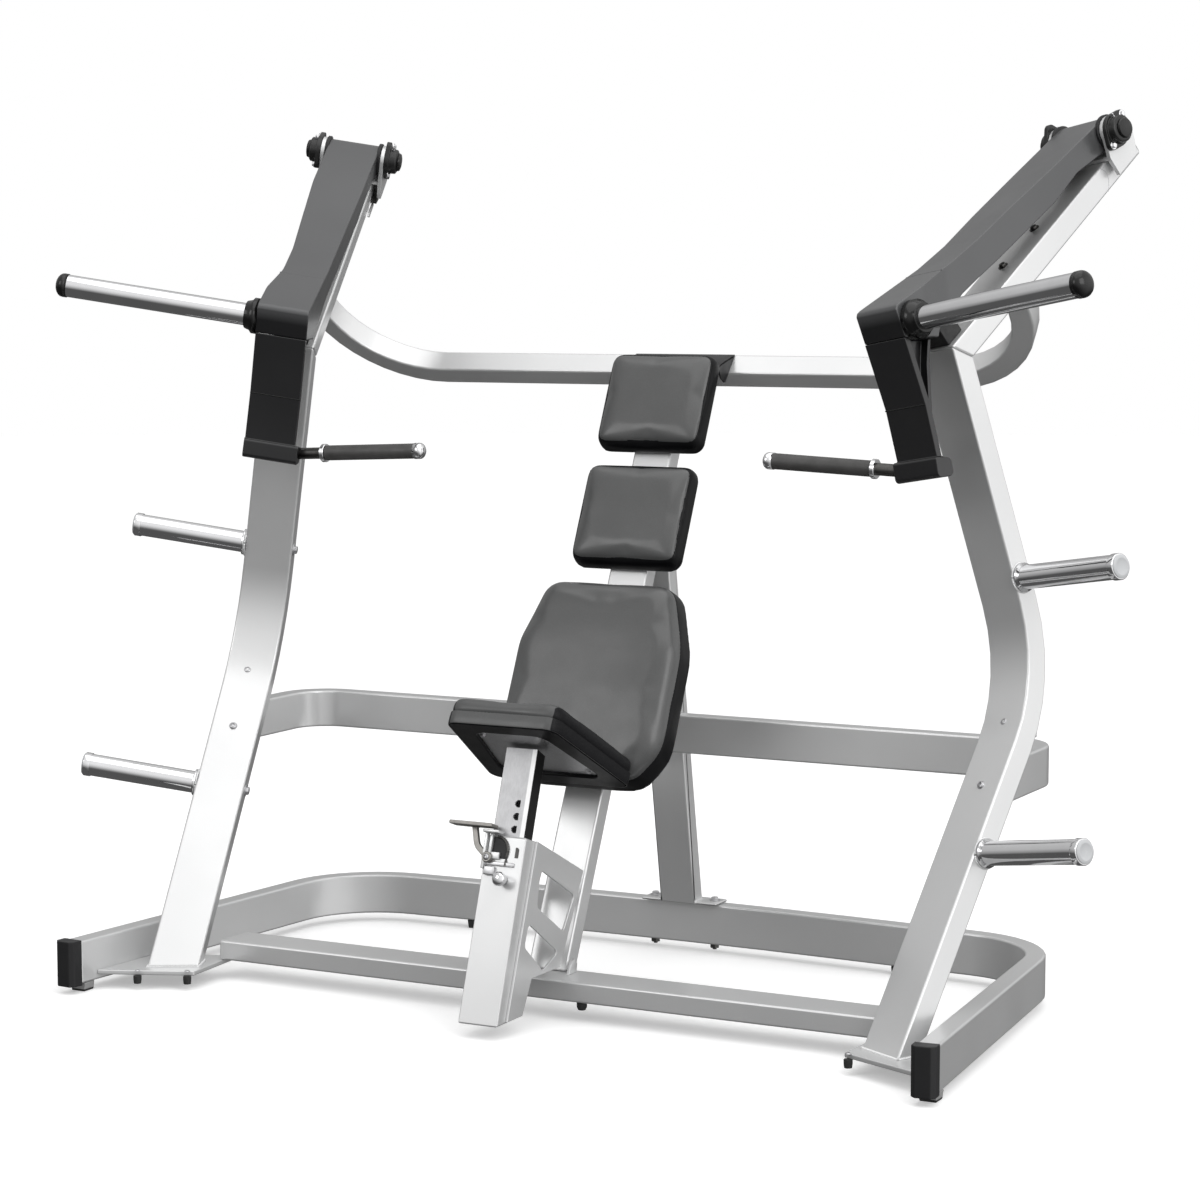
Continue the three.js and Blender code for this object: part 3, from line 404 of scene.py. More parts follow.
PAD_FACE = vinyl("pad_face", (0.062, 0.063, 0.063), (0.076, 0.077, 0.077), 0.33, 0.5)
PAD_SIDE = vinyl("pad_side", (0.004, 0.004, 0.0045), (0.007, 0.007, 0.008), 0.34, 0.12)
SEAT_PANELS = (0.006, 0.006, 0.007)
SEAT_COVER = vinyl("seat_cover", (0.066, 0.067, 0.067), (0.080, 0.081, 0.081), 0.33, 0.5, SEAT_PANELS)

# The first start that fits a CAD node's name gives its finish, and below its edge radius.
LOOKS = (
    ("arm_stop", RUBBER),
    # The arm drops take the near-black copy of the graphite paint: painted shade.
    ("arm_drop", DROP_SHADE_PAINT),
    ("arm_", ARM_PAINT),
    ("bearing", IRON),
    ("base_cap", BLACK_PLASTIC),
    ("foot_front", FRONT_FOOT),
    ("foot_", RUBBER),
    ("handle_grip", GRIP),
    ("handle_bar", DARK_STEEL),
    ("grip_end", CHROME),
    ("horn_", GLOSS_BLACK),
    ("weight_horn", CHROME),
    ("storage_horn", CHROME),
    ("pivot_shaft", STEEL),
    ("seat_pin", CHROME),
    ("seat_slide", SLIDE),
    ("seat_pan", PAD_SIDE),
    ("adjust_lever", LEVER_STEEL),
    ("", FRAME_PAINT),
)
ROUNDED = {
    "upright": 5, "lean_tube": 5, "base_frame": 5, "front_crossbar": 5, "mid_crossbar": 5,
    "upper_crossbar": 5, "back_rail": 5, "rear_strut": 4, "seat_post": 4, "base_plate": 2,
    "pivot_bracket": 1.5, "brace_plate": 1.5, "arm_stop": 2, "arm_drop": 2, "arm_": 3,
    "base_cap": 2, "foot_": 2, "bearing": 1.5, "seat_slide": 0.5, "seat_pan": 3, "adjust_lever": 1.5,
}

WORN_EDGES = {FRAME_PAINT: FRAME_EDGE, ARM_PAINT: ARM_EDGE, DROP_SHADE_PAINT: DROP_SHADE_EDGE}


def dress_cad_nodes():
    """Gives each CAD node its finish, and a small edge radius with its own worn finish."""
    for name, obj in nodes.items():
        look = next(material for start, material in LOOKS if name.startswith(start))
        obj.data.materials.clear()
        obj.data.materials.append(look)
        obj.data.materials.append(WORN_EDGES.get(look, look))
        for polygon in obj.data.polygons:
            polygon.use_smooth = True
        modify(obj, "WELD", merge_threshold=0.00005)
        radius = next((r for start, r in ROUNDED.items() if name.startswith(start)), 0)
        if radius:
            modify(obj, "DECIMATE", decimate_type="DISSOLVE", angle_limit=math.radians(0.2))
            modify(
                obj, "BEVEL", width=radius * MM, segments=3, limit_method="ANGLE",
                angle_limit=math.radians(34), use_clamp_overlap=False, material=1,
            )
        modify(obj, "WEIGHTED_NORMAL", weight=90, keep_sharp=True)


# ---------------------------------------------------------------- mesh helpers

def piece(name, bm, material, matrix, body="frame", sharp=35):
    """Turns a bmesh in some frame's millimetres into a piece that rides on a body."""
    bm.transform(matrix)
    if matrix.determinant() < 0:
        bmesh.ops.reverse_faces(bm, faces=bm.faces)
    mesh = bpy.data.meshes.new(name)
    bm.to_mesh(mesh)
    bm.free()
    mesh.materials.append(material)
    for polygon in mesh.polygons:
        polygon.use_smooth = True
    mesh.set_sharp_from_angle(angle=math.radians(sharp))
    obj = bpy.data.objects.new(name, mesh)
    scene.collection.objects.link(obj)
    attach(obj, body)


def side_piece(name, side, bm, material, body="frame"):
    """A piece of one side frame, built in the right one's frame and mirrored for the left."""
    piece(f"{name}_{side}", bm, material, side_frame(HANDS[side]), body)


def circle(radius, count, height=0.0):
    """Points of a circle about Z."""
    angles = [2 * math.pi * i / count for i in range(count)]
    return [Vector((radius * math.cos(a), radius * math.sin(a), height)) for a in angles]


def bridge(bm, rings, closed=False):
    """Faces between neighbouring rings of one length; closed joins the last ring to the first."""
    made = []
    for low, high in zip(rings, rings[1:] + rings[:1] if closed else rings[1:]):
        for i in range(len(low)):
            j = (i + 1) % len(low)
            made.append(bm.faces.new((low[i], low[j], high[j], high[i])))
    return made


def close_ends(bm, rings):
    """Closed solid through a row of rings."""
    bridge(bm, rings)
    bm.faces.new(list(reversed(rings[0])))
    bm.faces.new(rings[-1])
    bmesh.ops.recalc_face_normals(bm, faces=bm.faces)


def tube(bm, path, radii, sides, closed=False):
    """Rings square to a path, bridged; radii has the radius at each point."""
    rings = []
    last = len(path) - 1
    for i, point in enumerate(path):
        after = path[(i + 1) % len(path)] if closed else path[min(i + 1, last)]
        before = path[i - 1] if closed else path[max(i - 1, 0)]
        turn = (after - before).normalized().to_track_quat("Z", "Y").to_matrix()
        rings.append([bm.verts.new(point + turn @ spot) for spot in circle(radii[i], sides)])
    bridge(bm, rings, closed)
    return rings


def lathe(bm, profile, matrix, segments=24, size=1.0):
    """Turned shape about Z: profile pairs are (height, radius) times size; a radius of 0 closes it."""
    rings = []
    for height, radius in profile:
        points = circle(radius * size, segments if radius else 1, height * size)
        rings.append([bm.verts.new(matrix @ point) for point in points])
    for low, high in zip(rings, rings[1:]):
        if len(low) == len(high):
            bridge(bm, [low, high])
            continue
        for i in range(segments):
            j = (i + 1) % segments
            if len(low) == 1:
                bm.faces.new((low[0], high[j], high[i]))
            else:
                bm.faces.new((low[i], low[j], high[0]))


def hex_bolt(bm, matrix, size=8):
    """Washer and chamfered hexagon head, size being half the width across corners."""
    washer = [(0, 0), (0, 1.35), (0.16, 1.38), (0.22, 1.3), (0.22, 0)]
    head = [(0.22, 0), (0.22, 0.98), (0.75, 0.98), (0.86, 0.84), (0.9, 0.3), (0.9, 0)]
    lathe(bm, washer, matrix, size=size)
    lathe(bm, head, matrix, 6, size)


def button_bolt(bm, matrix, size=8):
    """Domed head with a hexagon socket."""
    dome = [(0, 0), (0, 1.0), (0.12, 1.0), (0.38, 0.86), (0.52, 0.6), (0.54, 0.5)]
    socket = [(0.54, 0.5), (0.5, 0.46), (0.2, 0.44), (0.2, 0)]
    lathe(bm, dome, matrix, size=size)
    lathe(bm, socket, matrix, 6, size)


def bead(bm, points, radius, closed=False, pitch=3.2):
    """Rippled weld bead along a polyline."""
    path = []
    points = [Vector(point) for point in points]
    for a, b in zip(points, points[1:] + points[:1] if closed else points[1:]):
        steps = max(2, round((b - a).length / pitch * 2))
        path += [a.lerp(b, k / steps) for k in range(steps)]
    if not closed:
        path.append(points[-1])
    radii = [radius * (1.0 + 0.16 * (-1) ** i) for i in range(len(path))]
    rings = tube(bm, path, radii, 8, closed)
    if not closed:
        bm.faces.new(list(reversed(rings[0])))
        bm.faces.new(rings[-1])


def block(bm, low, high, radius, matrix=Matrix()):
    """Box with rounded edges."""
    size = [b - a for a, b in zip(low, high)]
    middle = [(a + b) / 2 for a, b in zip(low, high)]
    made = bmesh.ops.create_cube(bm, size=1.0)["verts"]
    placed = Matrix.Translation(middle) @ Matrix.Diagonal((*size, 1))
    bmesh.ops.transform(bm, matrix=placed, verts=made)
    edges = list({edge for vert in made for edge in vert.link_edges})
    rounded = bmesh.ops.bevel(
        bm, geom=edges, offset=radius, segments=3, affect="EDGES", profile=0.5, clamp_overlap=True
    )
    verts = {vert for face in rounded["faces"] for vert in face.verts}
    linked = set(verts)
    for vert in verts:
        for face in vert.link_faces:
            linked.update(face.verts)
    bmesh.ops.transform(bm, matrix=matrix, verts=list(linked))


def plate(bm, outline, thickness, matrix, radius=0.8):
    """Flat plate: outline in X and Y, thickness up Z, edges rounded."""
    lower, upper = ([bm.verts.new((x, y, z)) for x, y in outline] for z in (0, thickness))
    faces = [bm.faces.new(list(reversed(lower))), bm.faces.new(upper)]
    rims = [edge for face in faces for edge in face.edges]
    faces += bridge(bm, [lower, upper])
    made = bmesh.ops.bevel(bm, geom=rims, offset=radius, segments=2, affect="EDGES", profile=0.5)
    verts = {vert for face in made["faces"] for vert in face.verts}
    for face in faces:
        if face.is_valid:
            verts.update(face.verts)
    bmesh.ops.transform(bm, matrix=matrix, verts=list(verts))


def rectangle(half, low, high):
    return [(-half, low), (half, low), (half, high), (-half, high)]


def mirrored(right):
    """Corners of a symmetrical outline, from those of its right half."""
    return right + [(-x, y) for x, y in reversed(right)]


def rounded_outline(points, radii, step=math.radians(9)):
    """Closed outline whose corner i is rounded to radii[i]."""
    out = []
    count = len(points)
    for i in range(count):
        corner = Vector(points[i])
        before = (corner - Vector(points[i - 1])).normalized()
        after = (Vector(points[(i + 1) % count]) - corner).normalized()
        turn = math.atan2(before.x * after.y - before.y * after.x, before.dot(after))
        reach = radii[i] * math.tan(abs(turn) / 2)
        start = corner - before * reach
        side = math.copysign(1, turn)
        centre = start + Vector((-before.y, before.x)) * radii[i] * side
        steps = max(2, math.ceil(abs(turn) / step))
        for k in range(steps + 1):
            swing = Matrix.Rotation(turn * k / steps, 2)
            out.append(centre + swing @ (start - centre))
    return out


def inset_outline(outline, amount):
    """Outline moved inwards (anticlockwise outlines) by an amount."""
    moved = []
    count = len(outline)
    for i in range(count):
        before = (outline[i] - outline[i - 1]).normalized()
        after = (outline[(i + 1) % count] - outline[i]).normalized()
        direction = (before + after).normalized()
        moved.append(outline[i] + Vector((-direction.y, direction.x)) * amount)
    return moved


# ---------------------------------------------------------------- padding

SHRINK, VOXEL = ((1.5, 5.5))
SWELL_ROOM = 5.0                      # the start form is this much thinner than the pad
PINNED_BELOW = 8.0
PRESSURE = 3.0
FARTHEST = 3.5                        # no point of a cover moves further in the simulation
DIMPLE = 1.2
SEAM_GROOVE = 0.9
THREAD, THREAD_LENGTH, THREAD_GAP = 0.6, 6.0, 2.6
CLOTH_FRAMES = 20
BACK_PAD = (53, 22, 41)               # thickness, edge radius and height of the seam
LOWER_PAD = (92, 30, 58)
SEAT_PAD = (42, 12, 5)

def pad_start(outline, thickness, edge, tuck):
    """Closed starting form of a pad: back at Z 0, rounded front edge, lower side drawn in by tuck."""
    bm = bmesh.new()
    low = min(p.y for p in outline)
    middle = (low + max(p.y for p in outline)) / 2
    profile = [(3, 0), (0, 4), (0, thickness - edge)]
    for i in range(1, 7):
        angle = math.radians(15 * i)
        profile.append((edge * (1 - math.cos(angle)), thickness - edge * (1 - math.sin(angle))))
    rings = []
    for amount, height in profile:
        ring = []
        for p in inset_outline(outline, amount):
            lift = tuck * height / thickness * max(0.0, (middle - p.y) / (middle - low))
            ring.append(bm.verts.new((p.x, p.y + lift, height)))
        rings.append(ring)
    bridge(bm, rings)
    bm.faces.new(list(reversed(rings[0])))
    bm.faces.new(rings[-1])
    return bm


def remeshed(bm):
    """The same closed form with even quads, in metres."""
    bm.transform(Matrix.Scale(MM, 4))
    mesh = bpy.data.meshes.new("pad_start")
    bm.to_mesh(mesh)
    bm.free()
    obj = bpy.data.objects.new("pad_start", mesh)
    scene.collection.objects.link(obj)
    modify(obj, "REMESH", mode="VOXEL", voxel_size=VOXEL * MM)
    modify(obj, "SMOOTH", factor=0.5, iterations=3)
    apply_modifiers(obj)
    return obj


def apply_modifiers(obj):
    graph = bpy.context.evaluated_depsgraph_get()
    mesh = bpy.data.meshes.new_from_object(obj.evaluated_get(graph))
    obj.modifiers.clear()
    obj.data = mesh


def inflate(obj):
    """Cloth under pressure, its back pinned to the board."""
    rest = [vert.co.copy() for vert in obj.data.vertices]
    group = obj.vertex_groups.new(name="board")
    for index, point in enumerate(rest):
        if point.z < PINNED_BELOW * MM:
            group.add([index], 1.0, "REPLACE")
    cloth = modify(obj, "CLOTH")
    configure(
        cloth.settings, quality=5, mass=0.3, tension_stiffness=30, compression_stiffness=30,
        shear_stiffness=20, bending_stiffness=12, use_pressure=True,
        uniform_pressure_force=PRESSURE, vertex_group_mass="board",
    )
    cloth.settings.effector_weights.gravity = 0
    cloth.point_cache.frame_start = 1
    cloth.point_cache.frame_end = CLOTH_FRAMES
    for number in range(1, CLOTH_FRAMES + 1):
        scene.frame_set(number)
    graph = bpy.context.evaluated_depsgraph_get()
    swollen = [vert.co.copy() for vert in obj.evaluated_get(graph).data.vertices]
    obj.modifiers.remove(cloth)
    obj.vertex_groups.clear()
    scene.frame_set(1)
    for vert, start, end in zip(obj.data.vertices, rest, swollen):
        move = end - start
        if move.length > FARTHEST * MM:
            move *= FARTHEST * MM / move.length
        vert.co = start + move
    modify(obj, "SMOOTH", factor=0.5, iterations=14)
    apply_modifiers(obj)


def crown(obj, outline, thickness, height):
    """Raises the middle of the face and presses in a few soft dimples."""
    middle = sum(outline, Vector((0, 0))) / len(outline)
    reach = max((p - middle).length for p in outline)
    for vert in obj.data.vertices:
        point = vert.co / MM
        depth = max(0.0, min(1.0, (point.z - 0.5 * thickness) / (0.5 * thickness)))
        away = min(1.0, (Vector(point.xy) - middle).length / reach)
        ripple = noise.noise(Vector((point.x * 0.012, point.y * 0.012, thickness)))
        vert.co.z += depth * (height * (1 - away * away) + DIMPLE * ripple) * MM


def cut_seam(obj, height):
    """Splits the cover along a seam; the band below gets its own material. Returns the seam's points."""
    bm = bmesh.new()
    bm.from_mesh(obj.data)
    cutting = bmesh.ops.bisect_plane(
        bm,
        geom=list(bm.verts) + list(bm.edges) + list(bm.faces),
        plane_co=(0, 0, height * MM),
        plane_no=(0, 0, 1),
        dist=0.0004,
    )
    seam = [item for item in cutting["geom_cut"] if isinstance(item, bmesh.types.BMVert)]
    bm.normal_update()
    for vert in seam:
        vert.co -= vert.normal * SEAM_GROOVE * MM
    points = seam_loop([item for item in cutting["geom_cut"] if isinstance(item, bmesh.types.BMEdge)])
    for face in bm.faces:
        face.material_index = 0 if face.calc_center_median().z > height * MM else 1
        face.smooth = True
    bm.to_mesh(obj.data)
    bm.free()
    return points


def seam_loop(edges):
    """The seam's points in order, in millimetres."""
    neighbours = {}
    for edge in edges:
        a, b = edge.verts
        neighbours.setdefault(a, []).append(b)
        neighbours.setdefault(b, []).append(a)
    start = next(iter(neighbours))
    order = [start]
    before = None
    current = start
    while True:
        onward = [vert for vert in neighbours[current] if vert is not before]
        if not onward or onward[0] is start or len(order) > len(neighbours):
            break
        before, current = current, onward[0]
        order.append(current)
    return [vert.co / MM for vert in order]


def stitches(name, points, matrix, body):
    """Short threads lying along a seam."""
    bm = bmesh.new()
    travelled = 0.0
    current = []
    for a, b in zip(points, points[1:] + points[:1]):
        steps = max(1, round((b - a).length))
        for k in range(steps):
            travelled += (b - a).length / steps
            if travelled % (THREAD_LENGTH + THREAD_GAP) < THREAD_LENGTH:
                current.append(a.lerp(b, k / steps))
                continue
            if len(current) > 2:
                add_thread(bm, current)
            current = []
    piece(name, bm, PAD_SIDE, matrix, body)


def add_thread(bm, spots):
    """One stitch, which bows outwards between its ends."""
    raised = []
    for i, spot in enumerate(spots):
        outward = Vector((spot.x, spot.y, 0)).normalized()
        raised.append(spot + outward * 0.9 * math.sin(math.pi * i / (len(spots) - 1)))
    tube(bm, raised, [THREAD] * len(raised), 5)


def make_pad(name, node, body, outline, size, matrix, covers, crowned=5.0, tuck=0.0):
    """One cushion: an inflated cover with a seam round it, standing for its CAD solid.

    size is its thickness, its edge radius and the height of its seam; covers are the
    materials above and below that seam.
    """
    thickness, edge, seam = size
    start = inset_outline(outline, SHRINK)
    obj = remeshed(pad_start(start, thickness - SWELL_ROOM, edge, tuck))
    inflate(obj)
    crown(obj, outline, thickness, crowned)
    for cover in covers:
        obj.data.materials.append(cover)
    points = cut_seam(obj, seam)
    obj.name = name
    obj.data.name = name
    obj.data.transform(matrix @ Matrix.Scale(1 / MM, 4))
    modify(obj, "SUBSURF", levels=1, render_levels=1)
    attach(obj, body)
    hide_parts(node)
    stitches(f"{name}_stitches", points, matrix, body)


# Pads lie on the rail: their own Z is the machine's front, their Y runs up the rail.
ON_RAIL = BACK @ Matrix.Rotation(math.radians(90), 4, "X")
BOARD = 5                             # thickness of the boards behind the pads
SEAT_OUTLINE = rounded_outline([(-128, 0), (128, 0), (170, 318), (-170, 318)], [30, 30, 26, 26])


def make_pads():
    two_tone = (PAD_FACE, PAD_SIDE)
    back_pads = (("head", "head_pad", 131, 148, 383), ("middle", "middle_back_pad", 134, -130, 114))
    for name, node, half, low, high in back_pads:
        outline = rounded_outline(rectangle(half, low, high), [26] * 4)
        make_pad(f"{name}_cushion", node, "frame", outline, BACK_PAD, ON_RAIL, two_tone, tuck=12.0)
    corners = mirrored([(150, -630), (201, -555), (200, -320), (153, -175)])
    lower = rounded_outline(corners, [60, 90, 110, 50, 50, 110, 90, 60])
    make_pad("lower_cushion", "lower_back_pad", "frame", lower, LOWER_PAD, ON_RAIL, two_tone, 8.0, 10.0)
    lifted = SEAT @ Matrix.Translation((0, 0, -SEAT_PAD[0]))
    covers = (SEAT_COVER, SEAT_COVER)
    make_pad("seat_top", "seat_cushion", "seat", SEAT_OUTLINE, SEAT_PAD, lifted, covers, 3.0)


def make_pad_boards():
    """Moulded backs of the three back pads, with the screws that hold them to the rail."""
    lower = mirrored([(138, -612), (188, -550), (187, -322), (143, -188)])
    boards = (
        ("head", rectangle(122, 158, 368), [24] * 4, 78, (190, 336)),
        ("middle", rectangle(125, -120, 104), [24] * 4, 78, (-88, 72)),
        ("lower", lower, [55, 85, 100, 45, 45, 100, 85, 55], 110, (-540, -400, -260)),
    )
    for name, corners, radii, reach, heights in boards:
        bm = bmesh.new()
        plate(bm, rounded_outline(corners, radii), BOARD, Matrix.Translation((0, 0, -BOARD)), 1.5)
        piece(f"{name}_board", bm, BLACK_PLASTIC, ON_RAIL)
        screws = bmesh.new()
        for x in (-reach, reach):
            for y in heights:
                button_bolt(screws, facing((x, y, -BOARD), DOWN), 6)
        piece(f"{name}_board_screws", screws, ZINC, ON_RAIL)


# ---------------------------------------------------------------- fasteners and trim

def side_point(s, point):
    return (SIDE_X + s, point[0], point[1])


def tube_normal(angle):
    return (0, -math.sin(angle), math.cos(angle))


def make_frame_bolts():
    """Bolts through each upright into the middle crossbar, and on the face of each leaning tube."""
    front = tube_normal(UPRIGHT_ANGLE)
    back = [-v for v in front]
    for side in HANDS:
        bolts = bmesh.new()
        for along in UPRIGHT_BOLTS_AT:
            spot = along_tube(UPRIGHT_FOOT, UPRIGHT_ANGLE, along, TUBE_HALF_D)
            button_bolt(bolts, facing(side_point(4, spot), front), 9)
            rear = along_tube(UPRIGHT_FOOT, UPRIGHT_ANGLE, along, -TUBE_HALF_D)
            hex_bolt(bolts, facing(side_point(38, rear), back, 0.3), 8)
        side_piece("upright_bolts", side, bolts, ZINC)
        studs = bmesh.new()
        for along in LEAN_BOLTS_AT:
            spot = along_tube(KNEE, LEAN_ANGLE, along, TUBE_HALF_D)
            hex_bolt(studs, facing(side_point(0, spot), tube_normal(LEAN_ANGLE), 0.2), 8)
        side_piece("lean_bolts", side, studs, DARK_STEEL)


def make_bearing_bolts():
    """Two bolts, a domed cap and a grease nipple on each flange bearing."""
    turn = math.radians(62)
    reach = 39
    nipple_turn = 0.5
    nipple_reach = 29.5
    up = (0, -math.sin(nipple_turn), math.cos(nipple_turn))
    dome = [(0, 0), (0, 21), (2, 21.5), (5, 20), (7, 14), (8, 0)]
    nipple = [(0, 0), (0, 3.2), (2, 3.2), (2, 2), (6, 1.8), (7, 2.4), (9, 1.2), (9, 0)]
    for side in HANDS:
        bolts = bmesh.new()
        caps = bmesh.new()
        nipples = bmesh.new()
        for out in (1, -1):
            for end in (reach, -reach):
                spot = (PIVOT[0] + end * math.cos(turn), PIVOT[1] + end * math.sin(turn))
                hex_bolt(bolts, facing(side_point(out * BEARING_FACE, spot), (out, 0, 0), 0.4), 6.5)
            lathe(caps, dome, facing(side_point(out * BEARING_BOSS, PIVOT), (out, 0, 0)), 32)
            spot = (PIVOT[0] + nipple_reach * up[1], PIVOT[1] + nipple_reach * up[2])
            lathe(nipples, nipple, facing(side_point(out * 95, spot), up), 12)
        side_piece("bearing_bolts", side, bolts, CHROME)
        side_piece("bearing_caps", side, caps, GLOSS_BLACK)
        side_piece("grease_nipples", side, nipples, ZINC)


def make_bracket_wedges():
    """Gusset under the inner cheek of each pivot bracket, with a thin tab below it."""
    run = (PIVOT[0] - KNEE[0]) * math.cos(LEAN_ANGLE) + (PIVOT[1] - KNEE[1]) * math.sin(LEAN_ANGLE)
    gusset = ((-46, -9), (22, -9), (8, -24), (-30, -27), (-58, -20), (-60, -11))
    tab = ((-46, -28), (-40, -38), (-92, -38), (-100, -30), (-92, -24))
    parts = (("gusset", gusset, 14, DARK_STEEL), ("tab", tab, 5, FRAME_PAINT))
    for side in HANDS:
        for part, shape, thickness, look in parts:
            bm = bmesh.new()
            rings = []
            for s in (-TUBE_HALF_W - 0.4, -TUBE_HALF_W - thickness):
                ring = [side_point(s, along_tube(KNEE, LEAN_ANGLE, run + a, u)) for a, u in shape]
                rings.append([bm.verts.new(p) for p in ring])
            close_ends(bm, rings)
            side_piece(f"bracket_{part}", side, bm, look)


def make_pivot_spacers():
    """Black thrust washers between the hub of each arm and the bracket cheeks."""
    washer = [(0, 0), (0, 36), (1, 37.5), (7.6, 37.5), (8.6, 36), (8.6, 0)]
    for side in HANDS:
        bm = bmesh.new()
        for out in (1, -1):
            lathe(bm, washer, facing(side_point(out * 58.6, PIVOT), (out, 0, 0)), 48)
        side_piece("pivot_spacers", side, bm, BLACK_PLASTIC, f"arm_{side}")


def make_tube_plugs():
    """Moulded plugs in the open upper ends of the leaning tubes."""
    axis = Vector((0, math.cos(LEAN_ANGLE), math.sin(LEAN_ANGLE)))
    end = Matrix.Translation(side_point(0, along_tube(KNEE, LEAN_ANGLE, LEAN_TUBE_END, 0)))
    for side in HANDS:
        bm = bmesh.new()
        block(bm, (-22, -51, -1), (22, 51, 3), 1.4, end @ axis.to_track_quat("Z", "X").to_matrix().to_4x4())
        bmesh.ops.recalc_face_normals(bm, faces=bm.faces)
        side_piece("lean_plug", side, bm, BLACK_PLASTIC)


def make_storage_caps():
    """Light plugs in the flat ends of the storage horns, and the nuts behind them."""
    plug = [(0, 0), (0, 24), (1.2, 24), (2.4, 22.5), (2.8, 17), (2.2, 16), (2.2, 0)]
    for side in HANDS:
        caps = bmesh.new()
        nuts = bmesh.new()
        for spot in STORAGE_HORNS:
            lathe(caps, plug, facing((STORAGE_HORN_END, *spot), (1, 0, 0)), 40)
            hex_bolt(nuts, facing(side_point(-TUBE_HALF_W, spot), (-1, 0, 0)), 10)
        side_piece("storage_caps", side, caps, GREY_PLASTIC)
        side_piece("storage_nuts", side, nuts, ZINC)


def make_welds():
    """Weld beads round the storage horns and round the foot of each upright."""
    for side in HANDS:
        horns = bmesh.new()
        for spot in STORAGE_HORNS:
            centre = Vector(side_point(TUBE_HALF_W + 0.6, spot))
            bead(horns, [centre + YZ_PLANE.to_3x3() @ p for p in circle(30.5, 40)], 2.0, closed=True)
        side_piece("horn_welds", side, horns, FRAME_PAINT)
        foot = bmesh.new()
        bead(foot, upright_foot_outline(), 3.0, closed=True)
        side_piece("foot_weld", side, foot, FRAME_PAINT)


def upright_foot_outline():
    """Where the upright meets its floor plate, in the side frame."""
    plate_top = 42.5
    along_x = math.sin(SIDE_ROLL)
    along_z = math.cos(SIDE_ROLL)
    points = []
    for s, up in ((-55, -26), (55, -26), (55, 26), (-55, 26)):
        height = (plate_top - (SIDE_X + s) * along_x) / along_z
        base = along_tube(UPRIGHT_FOOT, UPRIGHT_ANGLE, 0, up)
        along = (height - base[1]) / math.sin(UPRIGHT_ANGLE)
        points.append(side_point(s, (base[0] + along * math.cos(UPRIGHT_ANGLE), height)))
    return points


def make_floor_fasteners():
    """Bolts, nuts and small pads along the floor tubes."""
    tops = bmesh.new()
    nuts = bmesh.new()
    for x in (-76, 76):
        hex_bolt(tops, facing((x, 433, 121.5), UP), 9)
        under = facing((x, 433, 20), DOWN)
        lathe(nuts, [(0, 0), (0, 11), (9, 11), (9, 0)], under, 6)
        lathe(nuts, [(9, 0), (9, 5), (13, 4.6), (13, 0)], under, 16)
    piece("strut_bolts", tops, ZINC, FLOOR)
    piece("strut_nuts", nuts, DARK_STEEL, FLOOR)
    spacer = bmesh.new()
    block(spacer, (-521, 396, 6), (-452, 440, 19.6), 1.5)
    bmesh.ops.recalc_face_normals(spacer, faces=spacer.faces)
    piece("rear_spacer", spacer, FRAME_PAINT, FLOOR)
    fin = bmesh.new()
    shape = [(-266, 86.3), (-232, 86.3), (-228, 104), (-240, 116), (-250, 112)]
    plate(fin, shape, 7, Matrix.Translation((60, 0, 0)) @ YZ_PLANE)
    piece("rail_fin", fin, FRAME_PAINT, FLOOR)
    pads = bmesh.new()
    for x, y in ((-37, -299), (116, -301)):
        lathe(pads, [(0, 0), (0, 11), (10, 11), (17, 8), (19, 0)], facing((x, y, 42), DOWN), 20)
    piece("crossbar_pads", pads, RUBBER, FLOOR)
    for side, hand in HANDS.items():
        place = FLOOR @ Matrix.Diagonal((hand, 1, 1, 1))
        studs = bmesh.new()
        heads = bmesh.new()
        for x, y in ((780, -449), (850, -312), (880, -494))[: 3 if side == "left" else 2]:
            lathe(studs, [(0, 0), (0, 9), (8, 9), (17, 8), (19, 0)], facing((x, y, 32), DOWN), 20)
            button_bolt(heads, facing((x, y, 42), UP, 0.3), 6)
        piece(f"plate_feet_{side}", studs, RUBBER, place)
        piece(f"plate_bolts_{side}", heads, ZINC, place)


def make_hood():
    """Black hood between the back of the head pad and the face of the upper crossbar."""
    top = [(340, 1360), (352, 1364), (372, 1368), (396, 1372), (414, 1375), (426, 1377)]
    thickness = 3.0
    half = 124
    spans = 16
    bm = bmesh.new()
    columns = []
    for i in range(spans + 1):
        x = -half + 2 * half * i / spans
        droop = 9 * max(0, abs(x / half) - 0.75) ** 2 * 16
        outer = [bm.verts.new((x, y, z - droop * (1 - k / 5))) for k, (y, z) in enumerate(top)]
        inner = [bm.verts.new((vert.co.x, vert.co.y, vert.co.z - thickness)) for vert in outer]
        columns.append(outer + list(reversed(inner)))
    close_ends(bm, columns)
    piece("head_hood", bm, BLACK_PLASTIC, FLOOR, sharp=50)
    cheek = [(340, 1352), (352, 1326), (374, 1314), (391, 1333), (425, 1374), (396, 1371), (372, 1366)]
    cheek = rounded_outline(cheek, [3, 6, 6, 2, 3, 20, 20])
    cheeks = bmesh.new()
    for x in (-half, half - 3):
        plate(cheeks, cheek, 3, Matrix.Translation((x, 0, 0)) @ YZ_PLANE)
    piece("head_hood_cheeks", cheeks, BLACK_PLASTIC, FLOOR)


